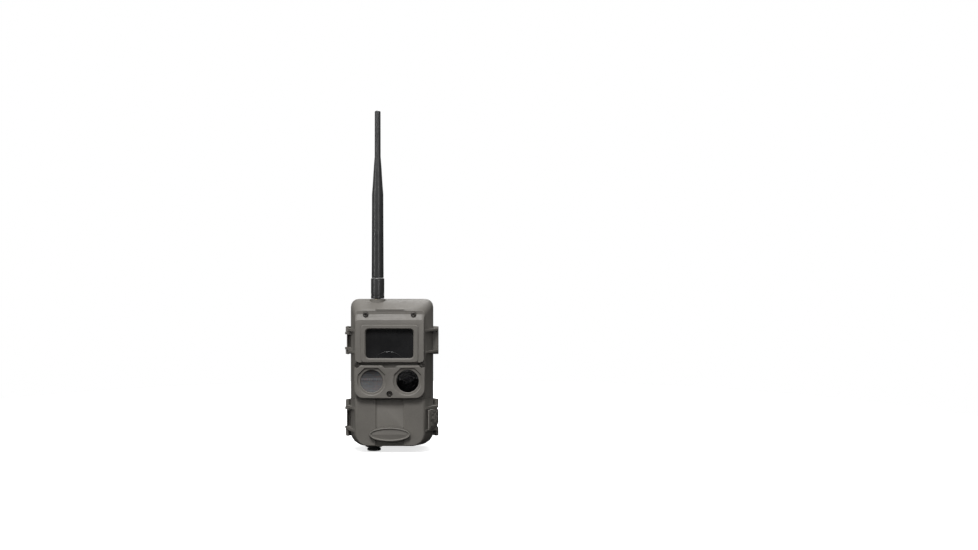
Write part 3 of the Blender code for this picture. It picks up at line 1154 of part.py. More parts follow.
def make_antenna():
    """Whip antenna on its threaded jack; the whip and its collar turn together."""
    centre = (ANTENNA_X, Y_ANTENNA, TOP)
    up = (0, 0, 1)
    jack = [(JACK_NUT[0], -JACK_NUT[2]), (JACK_NUT[0], -JACK_NUT[1]), (JACK_RADIUS, -JACK_NUT[1]),
            (JACK_RADIUS, JACK_LENGTH - JACK_EDGE),
            (JACK_RADIUS - JACK_EDGE, JACK_LENGTH)]
    as_object("antenna_jack", turned(jack, centre, up, 20), brass)
    bore = COLLAR_BORE
    stem = bore - GAP
    base = GAP + FINE_STEP
    collar = as_object("antenna_collar", turned([(COLLAR_RADIUS - COLLAR_EDGES[0], base),
                                                 (COLLAR_RADIUS, base + COLLAR_EDGES[0]),
                                                 (COLLAR_RADIUS, COLLAR_HEIGHT - COLLAR_EDGES[1]),
                                                 (COLLAR_RADIUS - COLLAR_EDGES[1], COLLAR_HEIGHT)], centre,
                                                 up, 24), antenna_black)
    cut(collar, turned([(JACK_RADIUS + SLIDE, -MM), (JACK_RADIUS + SLIDE, JACK_LENGTH + MM),
                        (bore, JACK_LENGTH + MM), (bore, COLLAR_HEIGHT + MM)], centre, up, 20), "bore")
    start = COLLAR_HEIGHT + GAP
    shoulder = start + WHIP_STRAIGHT
    neck = shoulder + WHIP_CONE
    end = neck + TIP_LENGTH
    whip = [(stem, JACK_LENGTH + STEM_ROOM), (stem, start), (WHIP_LOW_RADIUS - WHIP_EDGE, start),
            (WHIP_LOW_RADIUS, start + WHIP_EDGE), (WHIP_HIGH_RADIUS, shoulder)]
    whip += [(WHIP_HIGH_RADIUS - (WHIP_HIGH_RADIUS - TIP_LOW_RADIUS) * i / 3, shoulder + WHIP_CONE * i / 3)
             for i in (1, 2)]
    whip += [(TIP_LOW_RADIUS, neck), (TIP_RADIUS, end - TIP_RADIUS)]
    whip += [(TIP_RADIUS * math.cos(math.radians(a)),
              end - TIP_RADIUS + TIP_RADIUS * math.sin(math.radians(a)))
             for a in (30, 60)]
    whip.append((0, end))
    as_object("antenna_whip", turned(whip, centre, up, 20), antenna_black)


def make_port():
    """Power port at the bottom of the door, and the rubber plug that closes it."""
    centre = (PORT_X, Y_PORT, -TOP)
    down = (0, 0, -1)
    stem = PORT_RADIUS - STEM_PLAY
    profile = [(0, -4.5 * MM), (stem - 0.6 * MM, -4.5 * MM), (stem, -3.9 * MM), (stem, GAP),
               (PLUG_FLANGE - 0.4 * MM, GAP),
               (PLUG_FLANGE, GAP + 0.4 * MM), (PLUG_FLANGE - 1.0 * MM, 1.7 * MM), (PLUG_NECK, 2.1 * MM),
               (PLUG_NECK, PLUG_LENGTH - 2.8 * MM), (PLUG_DISC - 0.4 * MM, PLUG_LENGTH - 2.5 * MM),
               (PLUG_DISC, PLUG_LENGTH - 2.0 * MM), (PLUG_DISC, PLUG_LENGTH - 0.8 * MM),
               (PLUG_DISC - 0.8 * MM, PLUG_LENGTH), (0, PLUG_LENGTH)]
    as_object("port_plug", turned(profile, centre, down, 20), rubber)
    socket = as_object("power_socket", drum(PORT_RADIUS, centre, down, -SOCKET[1], -SOCKET[0], 20),
                       black_plastic)
    cut(socket, drum(stem + SLIDE, centre, down, -SOCKET_BORE, MM, 20), "bore")


def make_latch():
    """Lever on the right: it closes over the door's side and swings out on the latch pin."""
    corner = math.hypot(CASE_WIDTH / 2 - HINGE_X, GAP / 2)     # sweep of the door's rear edge
    clearance = LATCH_PLAY

    def inner_x(y):
        return HINGE_X + math.sqrt(corner ** 2 - (y - Y_SPLIT) ** 2) + clearance

    tip_y = Y_FACE + LATCH_FRONT
    start_y = Y_SPLIT - MM
    steps = 5
    inside = [(inner_x(y), y) for y in (start_y + (tip_y - start_y) * i / steps for i in range(steps + 1))]
    tip_x = inside[-1][0]
    outside = [(tip_x + LATCH_TIP * 0.6, tip_y - LATCH_NOSE), (tip_x + LATCH_TIP, tip_y + LATCH_FRONT),
               (EAR_REACH - LATCH_INSET, Y_SPLIT - LOCK_FLAT)]
    knuckle = arc(LATCH_X, Y_LATCH, LUG_RADIUS, 0, 180, 10)
    low = LOWER_RIBS[0] + RIB / 2 + LATCH_PLAY
    high = LOWER_RIBS[1] - RIB / 2 - LATCH_PLAY
    lever = as_object("latch_lever", prism(inside + outside + knuckle, low, high), taupe)
    cut(lever, drum(PIN_HOLE, (LATCH_X, Y_LATCH, 0), (0, 0, 1), low - MM, high + MM, 16), "pin_hole")


# ---------------------------------------------------------------- joints

def pivot(name, place, pieces):
    """Empty on a joint's axis; its pieces turn or slide with it."""
    empty = bpy.data.objects.new(name, None)
    empty.location = place
    bpy.context.scene.collection.objects.link(empty)
    bpy.context.view_layer.update()
    for piece in pieces:
        child = bpy.data.objects[piece]
        child.parent = empty
        child.matrix_parent_inverse = empty.matrix_world.inverted()
    return empty


def make_joints():
    fixed = {"rear_case", "tripod_insert", "tree_bracket", "battery_tray", "hinge_pin_upper",
    "hinge_pin_lower",
             "latch_pin"}
    fixed |= {"bracket_screw_%d" % n for n in range(1, 5)}
    fixed |= {"battery_cell_%d" % n for n in range(1, 5)}
    fixed |= {"contact_spring_left", "contact_spring_right", "contact_plate_bottom", "contact_plate_top_1",
              "contact_plate_top_2"}
    moving = {"latch_pivot": ((LATCH_X, Y_LATCH, 0), ["latch_lever"]),
              "antenna_turn": ((ANTENNA_X, Y_ANTENNA, TOP), ["antenna_collar", "antenna_whip"]),
              "plug_pull": ((PORT_X, Y_PORT, -TOP), ["port_plug"]),
              "card_push": ((0, Y_BOARD_BACK, CARD_Z), ["memory_card"]),
              "switch_slide": ((0, Y_DISH, SWITCH_Z), ["power_switch"])}
    for name, (x, z) in button_places().items():
        moving[name + "_press"] = ((x, Y_DISH, z), [name])
    own = {piece for _, pieces in moving.values() for piece in pieces}
    door = [o.name for o in bpy.data.objects if not o.hide_render and o.name not in fixed | own]
    hinge = pivot("door_hinge", (HINGE_X, Y_SPLIT, 0), door)
    for name, (place, pieces) in moving.items():
        made = pivot(name, place, pieces)
        if name != "latch_pivot":
            made.parent = hinge
            made.matrix_parent_inverse = hinge.matrix_world.inverted()


clear_scene()
make_rear_case()
make_bracket()
make_batteries()
make_pins()
make_front_housing()
make_lower_cover()
make_flash_bezel()
make_sensor_bezel()
make_front_screws()
make_optics()
make_inner_cover()
make_controls()
make_antenna()
make_port()
make_latch()
make_joints()
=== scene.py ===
import bpy
import bmesh
import json
import math
from mathutils import Matrix, Vector, noise


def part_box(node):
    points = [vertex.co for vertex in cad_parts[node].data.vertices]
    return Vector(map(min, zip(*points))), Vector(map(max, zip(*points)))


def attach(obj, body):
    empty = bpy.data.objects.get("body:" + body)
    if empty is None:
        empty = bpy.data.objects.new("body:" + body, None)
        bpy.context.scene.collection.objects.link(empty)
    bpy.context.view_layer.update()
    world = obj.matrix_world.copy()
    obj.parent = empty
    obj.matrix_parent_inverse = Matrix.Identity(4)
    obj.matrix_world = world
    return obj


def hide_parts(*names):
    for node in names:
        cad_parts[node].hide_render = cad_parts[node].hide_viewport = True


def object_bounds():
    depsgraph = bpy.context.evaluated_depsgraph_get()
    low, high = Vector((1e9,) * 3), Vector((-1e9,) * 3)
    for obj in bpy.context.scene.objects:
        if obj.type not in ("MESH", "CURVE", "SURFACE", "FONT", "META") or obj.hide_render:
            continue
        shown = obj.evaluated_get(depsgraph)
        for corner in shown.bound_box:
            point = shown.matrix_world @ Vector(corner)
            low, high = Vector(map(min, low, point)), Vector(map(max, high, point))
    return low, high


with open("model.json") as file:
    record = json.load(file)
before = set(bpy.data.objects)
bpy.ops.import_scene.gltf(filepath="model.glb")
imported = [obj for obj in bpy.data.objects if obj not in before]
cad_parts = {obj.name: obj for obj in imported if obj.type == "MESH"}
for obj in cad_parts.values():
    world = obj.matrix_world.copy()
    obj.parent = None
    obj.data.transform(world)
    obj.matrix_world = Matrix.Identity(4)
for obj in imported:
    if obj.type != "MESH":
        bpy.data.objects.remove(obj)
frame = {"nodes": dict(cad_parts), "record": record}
cad_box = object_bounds()

MM = 0.001
NODES = frame["nodes"]
RECORD = frame["record"]
BODY_OF = {node: body for body, nodes in RECORD["behaviour"]["bodies"].items() for node in nodes}
SLOT_OF = {part["node"]: part["material_slot"] for part in RECORD["subparts"]}
ALONG_Y = (0, 1, 0)
UP = (0, 0, 1)
DOWN = (0, 0, -1)


# ---------------------------------------------------------------- measures read from the frame

def middle(node):
    low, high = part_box(node)
    return (Vector(low) + Vector(high)) / 2


def size(node):
    low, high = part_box(node)
    return Vector(high) - Vector(low)


# ---------------------------------------------------------------- material tools

class Tree:
    """Short names for building one material's nodes."""

    def __init__(self, name):
        self.material = bpy.data.materials.new(name)
        self.material.use_nodes = True
        self.nodes = self.material.node_tree.nodes
        self.links = self.material.node_tree.links
        self.shader = self.nodes["Principled BSDF"]
        self.place = self.nodes.new("ShaderNodeTexCoord").outputs["Object"]

    def node(self, kind, **settings):
        made = self.nodes.new("ShaderNode" + kind)
        for key, value in settings.items():
            setattr(made, key, value)
        return made

    def link(self, source, target):
        self.links.new(source, target)

    def colour(self, source):
        self.link(source, self.shader.inputs["Base Color"])

    def rough(self, source):
        self.link(source, self.shader.inputs["Roughness"])

    def noise(self, grain, detail=3.0, rough=0.55, stretch=None):
        """Noise whose features are about one grain across, in metres."""
        made = self.node("TexNoise")
        made.inputs["Scale"].default_value = 1.0 / grain
        made.inputs["Detail"].default_value = detail
        made.inputs["Roughness"].default_value = rough
        if stretch is None:
            self.link(self.place, made.inputs["Vector"])
        else:
            mapping = self.node("Mapping")
            mapping.inputs["Scale"].default_value = stretch
            self.link(self.place, mapping.inputs["Vector"])
            self.link(mapping.outputs["Vector"], made.inputs["Vector"])
        return made.outputs["Fac"]

    def cells(self, grain):
        made = self.node("TexVoronoi")
        made.inputs["Scale"].default_value = 1.0 / grain
        self.link(self.place, made.inputs["Vector"])
        return made.outputs["Distance"]

    def ramp(self, value, *stops):
        """Colour from a value, by (position, colour) stops."""
        made = self.node("ValToRGB")
        elements = made.color_ramp.elements
        while len(elements) < len(stops):
            elements.new(0.5)
        for element, (position, colour) in zip(elements, stops):
            element.position = position
            element.color = (*colour, 1.0)
        self.link(value, made.inputs["Fac"])
        return made.outputs["Color"]

    def span(self, value, low, high, start=0.0, end=1.0):
        """Value between low and high, spread over start to end."""
        made = self.node("MapRange")
        limits = {"From Min": low, "From Max": high, "To Min": start, "To Max": end}
        for socket, number in limits.items():
            made.inputs[socket].default_value = number
        self.link(value, made.inputs["Value"])
        return made.outputs["Result"]

    def maths(self, operation, first, second):
        made = self.node("Math", operation=operation)
        for socket, value in zip(made.inputs, (first, second)):
            if isinstance(value, (int, float)):
                socket.default_value = value
            else:
                self.link(value, socket)
        return made.outputs["Value"]

    def mix(self, share, first, second, blend="MIX"):
        made = self.node("Mix", data_type="RGBA", blend_type=blend)
        factor, colour_a, colour_b = made.inputs[0], made.inputs[6], made.inputs[7]
        for socket, value in ((factor, share), (colour_a, first), (colour_b, second)):
            if isinstance(value, tuple):
                socket.default_value = (*value, 1.0)
            elif isinstance(value, (int, float)):
                socket.default_value = value
            else:
                self.link(value, socket)
        return made.outputs[2]

    def edges(self, radius):
        """1 on outer and inner edges, 0 on flat areas: how far a rounded normal leaves the true one."""
        flat, sharp = 0.995, 0.86
        rounded_normal = self.node("Bevel", samples=4)
        rounded_normal.inputs["Radius"].default_value = radius
        true_normal = self.node("NewGeometry")
        dot = self.node("VectorMath", operation="DOT_PRODUCT")
        self.link(rounded_normal.outputs["Normal"], dot.inputs[0])
        self.link(true_normal.outputs["Normal"], dot.inputs[1])
        return self.span(dot.outputs["Value"], flat, sharp)

    def crevices(self, reach):
        """1 in the open, falling to 0 in gaps and inner corners."""
        made = self.node("AmbientOcclusion", samples=6)
        made.inputs["Distance"].default_value = reach
        return made.outputs["AO"]

    def bump(self, height, strength, distance):
        made = self.node("Bump")
        made.inputs["Strength"].default_value = strength
        made.inputs["Distance"].default_value = distance
        self.link(height, made.inputs["Height"])
        self.link(made.outputs["Normal"], self.shader.inputs["Normal"])

    def set(self, **values):
        """Constants of the shader's sockets, with _ for a space in a socket's name."""
        for key, value in values.items():
            socket = self.shader.inputs[key.replace("_", " ")]
            socket.default_value = (*value, 1.0) if isinstance(value, tuple) else value


def tone(colour, factor):
    return tuple(channel * factor for channel in colour)


# ---------------------------------------------------------------- materials

def moulded(name, colour, rough=0.6, grain=0.45 * MM, depth=0.05 * MM, edge_wear_and_highlight=0.55, crevice_shade=0.5, shine=0.42):
    """Moulded plastic: spark-eroded grain, faint flow marks, edges paler from wear and a painted highlight,
    and painted shade in crevices.
    """
    flow_mark, speck, scuff, gloss_patch = 26 * MM, 1.1 * MM, 7 * MM, 4 * MM
    edge_width, crevice_shade_reach = 0.6 * MM, 1.8 * MM
    speck_tone, wear_and_highlight_tone, worn_gloss = 1.25, 1.75, 0.18
    tree = Tree(name)
    flow = tree.noise(flow_mark, 4.0, 0.6)
    specks = tree.noise(speck, 2.0, 0.7)
    base = tree.ramp(flow, (0.3, tone(colour, 0.91)), (0.7, tone(colour, 1.08)))
    base = tree.mix(tree.span(specks, 0.35, 0.7, 0.0, 0.3), base, tone(colour, speck_tone))
    scuffs = tree.span(tree.noise(scuff, 5.0, 0.7), 0.42, 0.62)
    rubbed = tree.span(scuffs, 0.0, 1.0, 0.55 * edge_wear_and_highlight, edge_wear_and_highlight)
    # Edges made paler, patchy through the scuff noise: partly wear, partly a painted highlight along rounded
    # edges.
    wear_and_highlight = tree.maths("MULTIPLY", tree.edges(edge_width), rubbed)
    base = tree.mix(wear_and_highlight, base, tone(colour, wear_and_highlight_tone))
    # Painted shade: the colour darkens in gaps and inner corners, where shade falls.
    painted_crevice_shade = tree.span(tree.crevices(crevice_shade_reach), 0.15, 0.85, 1.0 - crevice_shade, 1.0)
    tree.colour(tree.mix(1.0, base, painted_crevice_shade, "MULTIPLY"))
    polish = tree.span(tree.noise(gloss_patch, 4.0), 0.3, 0.7, rough - 0.07, rough + 0.08)
    tree.rough(tree.maths("SUBTRACT", polish, tree.maths("MULTIPLY", wear_and_highlight, worn_gloss)))
    fine = tree.maths("MULTIPLY", tree.noise(grain / 2, 2.0), 0.6)
    tree.bump(tree.maths("ADD", tree.cells(grain), fine), 0.55, depth)
    tree.set(Specular_IOR_Level=shine)
    return tree.material


def rubber(name, colour, rough=0.72):
    """Soft rubber: fine chalky bloom over a dark base."""
    bloom_patch, gloss_patch, skin, edge_width = 3 * MM, 2 * MM, 0.35 * MM, 0.3 * MM
    tree = Tree(name)
    bloom = tree.span(tree.noise(bloom_patch, 6.0, 0.75), 0.45, 0.75, 0.0, 0.5)
    base = tree.mix(bloom, tone(colour, 0.85), tone(colour, 1.7))
    # Edges made paler: partly wear, partly a painted highlight along rounded edges.
    wear_and_highlight = tree.maths("MULTIPLY", tree.edges(edge_width), 0.4)
    tree.colour(tree.mix(wear_and_highlight, base, tone(colour, 2.4)))
    tree.rough(tree.span(tree.noise(gloss_patch, 3.0), 0.3, 0.7, rough - 0.08, rough + 0.1))
    tree.bump(tree.noise(skin, 3.0, 0.7), 0.4, 0.03 * MM)
    tree.set(Sheen_Weight=0.15, Sheen_Roughness=0.4)
    return tree.material


def metal(name, colour, rough=0.3):
    """Turned or brushed metal with fine lines, patchy oxide and bright edges."""
    line, oxide_patch, edge_width = 0.6 * MM, 5 * MM, 0.3 * MM
    across_the_axis = (1, 1, 14)
    tree = Tree(name)
    lines = tree.noise(line, 4.0, 0.6, across_the_axis)
    oxide = tree.span(tree.noise(oxide_patch, 5.0, 0.65), 0.45, 0.7, 0.0, 0.55)
    base = tree.mix(oxide, colour, tone(colour, 0.55))
    bright = tree.maths("MULTIPLY", tree.edges(edge_width), 0.4)
    tree.colour(tree.mix(bright, base, tone(colour, 1.6)))
    spread = tree.span(lines, 0.3, 0.7, rough - 0.08, rough + 0.12)
    tree.rough(tree.maths("ADD", spread, tree.maths("MULTIPLY", oxide, 0.25)))
    tree.bump(lines, 0.25, 0.02 * MM)
    tree.set(Metallic=1.0)
    return tree.material


def smoked_filter(name):
    """Dark infrared-pass pane: polished, with faint depth and wipe marks."""
    cloud, wipe, ripple = 14 * MM, 1.6 * MM, 9 * MM
    tree = Tree(name)
    haze = tree.noise(cloud, 4.0, 0.6)
    tree.colour(tree.ramp(haze, (0.35, (0.0125, 0.0125, 0.013)), (0.7, (0.0185, 0.0185, 0.019))))
    wipes = tree.noise(wipe, 5.0, 0.7, (1, 1, 0.12))
    tree.rough(tree.span(wipes, 0.4, 0.75, 0.09, 0.24))
    tree.bump(tree.noise(ripple, 2.0), 0.12, 0.05 * MM)
    tree.set(Coat_Weight=0.25, Coat_Roughness=0.05, IOR=1.49)
    return tree.material


def lens_glass(name):
    """Clear pane with a grey tint and a few polishing marks."""
    smear, cloud = 4 * MM, 18 * MM
    tree = Tree(name)
    tree.rough(tree.span(tree.noise(smear, 5.0, 0.7), 0.45, 0.8, 0.02, 0.1))
    tint = tree.noise(cloud, 2.0)
    tree.colour(tree.ramp(tint, (0.3, (0.22, 0.22, 0.23)), (0.7, (0.27, 0.27, 0.27))))
    tree.set(Transmission_Weight=1.0, IOR=1.35)
    return tree.material


def coated_glass(name):
    """Lens element with a violet-green anti-reflection coat."""
    violet, green, rim_grey = (0.010, 0.006, 0.022), (0.006, 0.016, 0.014), (0.02, 0.02, 0.02)
    smear = 3 * MM
    tree = Tree(name)
    rim = tree.node("LayerWeight")
    rim.inputs["Blend"].default_value = 0.35
    tree.colour(tree.ramp(rim.outputs["Facing"], (0.0, violet), (0.55, green), (1.0, rim_grey)))
    tree.rough(tree.span(tree.noise(smear, 3.0), 0.4, 0.8, 0.03, 0.08))
    tree.set(Coat_Weight=0.8, Coat_Roughness=0.02)
    return tree.material


def fresnel_film(name):
    """Milky polyethylene film over the motion sensor, with painted shade where its surround shadows it and a
    painted shadow darkening it upwards, under the rim.
    """
    cloud, gloss_patch, skin, shadow_reach = 3 * MM, 1 * MM, 0.4 * MM, 5 * MM
    rim_shadow_starts = middle("pir_lens").z + 1.5 * MM
    rim_shadow_ends = middle("pir_lens").z + 9.5 * MM
    darkest = 0.3
    tree = Tree(name)
    milk = tree.noise(cloud, 4.0, 0.6)
    base = tree.ramp(milk, (0.3, (0.090, 0.089, 0.092)), (0.7, (0.116, 0.114, 0.118)))
    # Painted shade: darker near the surround, where its shadow falls.
    shade = tree.span(tree.crevices(shadow_reach), 0.25, 0.85, 0.2, 1.0)
    axes = tree.node("SeparateXYZ")
    tree.link(tree.place, axes.inputs["Vector"])
    # Painted shadow: the film darkens upwards, as the rim above shades it.
    painted_rim_shadow = tree.span(axes.outputs["Z"], rim_shadow_starts, rim_shadow_ends, 1.0, darkest)
    shade = tree.maths("MULTIPLY", shade, painted_rim_shadow)
    tree.colour(tree.mix(1.0, base, shade, "MULTIPLY"))
    tree.rough(tree.span(tree.noise(gloss_patch, 3.0), 0.3, 0.7, 0.34, 0.5))
    tree.bump(tree.noise(skin, 3.0), 0.3, 0.02 * MM)
    tree.set(Subsurface_Weight=0.15, Subsurface_Scale=0.002, Specular_IOR_Level=0.5)
    return tree.material


def circuit_board(name):
    """Green solder resist over copper tracks."""
    stain, gloss_patch, tracks_per_metre = 12 * MM, 5 * MM, 110.0
    tree = Tree(name)
    tracks = tree.node("TexBrick")
    tree.link(tree.place, tracks.inputs["Vector"])
    tracks.inputs["Scale"].default_value = tracks_per_metre
    tracks.inputs["Mortar Size"].default_value = 0.06
    tracks.inputs["Color1"].default_value = (0.012, 0.075, 0.032, 1)
    tracks.inputs["Color2"].default_value = (0.014, 0.088, 0.038, 1)
    tracks.inputs["Mortar"].default_value = (0.03, 0.15, 0.06, 1)
    stains = tree.span(tree.noise(stain), 0.3, 0.7, 0.0, 0.35)
    tree.colour(tree.mix(stains, tracks.outputs["Color"], (0.01, 0.05, 0.022)))
    tree.rough(tree.span(tree.noise(gloss_patch), 0.3, 0.7, 0.28, 0.42))
    tree.bump(tracks.outputs["Fac"], 0.3, 0.03 * MM)
    return tree.material


def cell_sleeve(name, colour, metallic):
    """Shrink sleeve on a battery: satin film with faint creases."""
    crease = 2.4 * MM
    tree = Tree(name)
    creases = tree.noise(crease, 5.0, 0.65, (1, 1, 0.2))
    tree.colour(tree.ramp(creases, (0.3, tone(colour, 0.85)), (0.75, tone(colour, 1.2))))
    tree.rough(tree.span(creases, 0.3, 0.7, 0.22, 0.36))
    tree.bump(creases, 0.25, 0.05 * MM)
    tree.set(Metallic=metallic, Coat_Weight=0.3, Coat_Roughness=0.15)
    return tree.material


def display_glass(name):
    """Grey-green reflective liquid crystal panel under glass."""
    cloud, smear, dots_per_metre = 16 * MM, 3 * MM, 2600.0
    tree = Tree(name)
    grid = tree.node("TexChecker")
    tree.link(tree.place, grid.inputs["Vector"])
    grid.inputs["Scale"].default_value = dots_per_metre
    grid.inputs["Color1"].default_value = (0.034, 0.043, 0.036, 1)
    grid.inputs["Color2"].default_value = (0.029, 0.037, 0.031, 1)
    clouds = tree.span(tree.noise(cloud), 0.35, 0.7, 0.0, 0.35)
    tree.colour(tree.mix(clouds, grid.outputs["Color"], (0.05, 0.06, 0.052)))
    tree.rough(tree.span(tree.noise(smear, 5.0), 0.4, 0.8, 0.07, 0.18))
    tree.set(Coat_Weight=0.6, Coat_Roughness=0.04)
    return tree.material


TAUPE = (0.143, 0.134, 0.120)
BEZEL = (0.150, 0.141, 0.127)
ANTENNA_GREY = (0.022, 0.022, 0.0224)
FINISHES = {
    "taupe_plastic": moulded("taupe_plastic_look", TAUPE, 0.54, crevice_shade=0.85, edge_wear_and_highlight=0.9),
    "bezel_plastic": moulded("bezel_plastic_look", BEZEL, 0.52, grain=0.4 * MM, crevice_shade=0.85, edge_wear_and_highlight=0.9),
    "black_plastic": moulded("black_plastic_look", (0.02, 0.02, 0.02), 0.5, crevice_shade=0.3, edge_wear_and_highlight=0.35),
    "smoked_filter": smoked_filter("smoked_filter_look"),
    "pir_film": fresnel_film("pir_film_look"),
    "clear_glass": lens_glass("clear_glass_look"),
    "antenna_plastic": moulded("antenna_plastic_look", ANTENNA_GREY, 0.36, grain=0.3 * MM,
                               depth=0.004 * MM, edge_wear_and_highlight=0.4, crevice_shade=0.6, shine=0.8),
    "black_rubber": rubber("black_rubber_look", (0.012, 0.012, 0.012)),
    "dark_steel": metal("dark_steel_look", (0.16, 0.15, 0.14), 0.36),
    "bright_steel": metal("bright_steel_look", (0.56, 0.56, 0.55), 0.28),
    "brass": metal("brass_look", (0.72, 0.53, 0.24), 0.26),
    "circuit_board": circuit_board("circuit_board_look"),
    "cell_jacket": cell_sleeve("cell_jacket_look", (0.03, 0.031, 0.034), 0.3),
    "display_glass": display_glass("display_glass_look"),
    "key_rubber": rubber("key_rubber_look", (0.2, 0.195, 0.187), 0.6),
    "card_plastic": moulded("card_plastic_look", (0.02, 0.03, 0.09), 0.4, grain=0.3 * MM, depth=0.02 * MM),
}
CELL_BAND = cell_sleeve("cell_band_look", (0.42, 0.2, 0.085), 0.85)
LENS_COAT = coated_glass("lens_coat_look")


# ---------------------------------------------------------------- piece tools

def finished(bm, name, angle=35):
    """Turn a bmesh into a smooth-shaded mesh with sharp edges past the angle."""
    bmesh.ops.recalc_face_normals(bm, faces=bm.faces)
    mesh = bpy.data.meshes.new(name)
    bm.to_mesh(mesh)
    bm.free()
    mesh.shade_smooth()
    mesh.set_sharp_from_angle(angle=math.radians(angle))
    return mesh


def extra(name, bm, node, slot, angle=35, finishes=()):
    """Piece that moves with a CAD node's body, in its slot's finish unless finishes are given."""
    mesh = finished(bm, name, angle)
    for finish in finishes or (FINISHES[slot],):
        mesh.materials.append(finish)
    piece = bpy.data.objects.new(name, mesh)
    bpy.context.scene.collection.objects.link(piece)
    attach(piece, BODY_OF[node])
    return piece


def stand_in(node, bm, angle=35, finishes=()):
    """Piece that takes a CAD node's place."""
    piece = extra(node + "_skin", bm, node, SLOT_OF[node], angle, finishes)
    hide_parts(node)
    return piece


def solid(node, merge_flats=True):
    """Copy of a CAD node with its vertices joined and, where asked, its flat areas made whole."""
    joined, flat = 0.002 * MM, 0.6
    bm = bmesh.new()
    bm.from_mesh(NODES[node].data)
    bmesh.ops.remove_doubles(bm, verts=bm.verts, dist=joined)
    if merge_flats:
        bmesh.ops.dissolve_limit(bm, angle_limit=math.radians(flat), verts=bm.verts, edges=bm.edges)
    for face in bm.faces:
        face.material_index = 0
    return bm


def round_edges(piece, width, segments=2):
    sharpest_left_alone = 28
    step = piece.modifiers.new("rounded_edges", "BEVEL")
    step.width = width
    step.segments = segments
    step.limit_method = "ANGLE"
    step.angle_limit = math.radians(sharpest_left_alone)
    step.harden_normals = True
    step.miter_outer = "MITER_ARC"


def turned(profile, centre, axis, segments=64):
    """Closed solid of revolution from (radius, distance along axis) pairs that start and end at 0."""
    turn = Vector(UP).rotation_difference(Vector(axis)).to_matrix().to_4x4()
    place = Matrix.Translation(Vector(centre)) @ turn
    bm = bmesh.new()
    rows = []
    for radius, height in profile:
        count = segments if radius > 0 else 1
        angles = [2 * math.pi * i / segments for i in range(count)]
        rows.append([bm.verts.new(place @ Vector((radius * math.cos(a), radius * math.sin(a), height)))
                     for a in angles])
    for near, far in zip(rows, rows[1:]):
        for i in range(segments):
            j = (i + 1) % segments
            corners = [near[i % len(near)], near[j % len(near)], far[j % len(far)], far[i % len(far)]]
            corners = list(dict.fromkeys(corners))
            if len(corners) > 2:
                bm.faces.new(corners)
    return bm


def rounded(radius, height, fillet, outward=1, steps=5):
    """Profile points of a quarter-round corner: from the side to the end face."""
    points = []
    for i in range(steps + 1):
        angle = math.pi / 2 * i / steps
        inward = fillet * (1 - math.cos(angle))
        back = fillet * (1 - math.sin(angle))
        points.append((radius - inward, height - outward * back))
    return points


def oval(bm, centre, half_x, half_z, steps):
    """Ring of vertices that faces along Y."""
    x, y, z = centre
    angles = [2 * math.pi * i / steps for i in range(steps)]
    return [bm.verts.new((x + half_x * math.cos(a), y, z + half_z * math.sin(a))) for a in angles]


def bridge(bm, rows):
    """Quads between neighbouring rows, where each row is a closed ring of equally many vertices."""
    for near, far in zip(rows, rows[1:]):
        for i in range(len(near)):
            j = (i + 1) % len(near)
            bm.faces.new((near[i], near[j], far[j], far[i]))


# ---------------------------------------------------------------- rounded copies of the CAD nodes

def numbered(name, count):
    return ["%s_%d" % (name, number) for number in range(1, count + 1)]


RINGED = ("tree_bracket",)      # flats with holes, which stay in triangles
CELLS = numbered("battery_cell", 4)
EDGE_WIDTHS = {
    0.6 * MM: ["front_housing", "lower_cover", "rear_case", "flash_bezel", "sensor_bezel"],
    0.4 * MM: ["tree_bracket"],
    0.3 * MM: ["inner_cover", "flash_window", "battery_tray"],
    0.18 * MM: ["display", "memory_card", "power_switch", "card_slot", "flash_board", "main_board"],
    0.15 * MM: numbered("bracket_screw", 4) + numbered("front_screw", 5),
    0.08 * MM: numbered("cover_screw", 4) + ["contact_plate_bottom"] + numbered("contact_plate_top", 2),
}
for edge_width, names in EDGE_WIDTHS.items():
    for node_name in names:
        round_edges(stand_in(node_name, solid(node_name, node_name not in RINGED)), edge_width)


# ---------------------------------------------------------------- antenna

def make_antenna():
    """Smooth whip with a tapered neck, on a collar with two turned grooves."""
    low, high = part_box("antenna_collar")
    centre = Vector(((low[0] + high[0]) / 2, (low[1] + high[1]) / 2, 0))
    radius = (high[0] - low[0]) / 2
    base, top = low[2], high[2]
    groove, groove_heights = 0.35 * MM, (3.4 * MM, 4.6 * MM)
    foot_fillet, top_fillet = 0.5 * MM, 0.9 * MM
    collar = [(0, base)] + rounded(radius, base, foot_fillet, -1)[::-1]
    for height in groove_heights:
        level = base + height
        collar += [(radius, level - groove), (radius - groove, level), (radius, level + groove)]
    collar += rounded(radius, top, top_fillet) + [(0, top)]
    stand_in("antenna_collar", turned(collar, centre, UP))

    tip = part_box("antenna_whip")[1][2]
    foot_radius = size("antenna_whip").x / 2
    thick, thin, end_radius = 5.75 * MM, 3.05 * MM, 2.95 * MM
    low_length, neck_length, clearance, edge = 85.2 * MM, 38.3 * MM, 0.15 * MM, 0.5 * MM
    end_height, end_fillet = 1.6 * MM, 1.5 * MM
    steps, sway = 16, 0.03
    foot = top + clearance
    shoulder = foot + low_length
    neck = shoulder + neck_length
    whip = [(0, foot), (foot_radius - edge, foot), (foot_radius, foot + edge), (thick, shoulder)]
    for i in range(1, steps):
        share = i / steps
        eased = share + sway * math.sin(2 * math.pi * share)
        whip.append((thick + (thin - thick) * eased, shoulder + (neck - shoulder) * share))
    whip += [(thin, neck), (end_radius, tip - end_height)]
    whip += rounded(end_radius, tip, end_fillet)[1:] + [(0, tip)]
    stand_in("antenna_whip", turned(whip, centre, UP))


# ---------------------------------------------------------------- badge

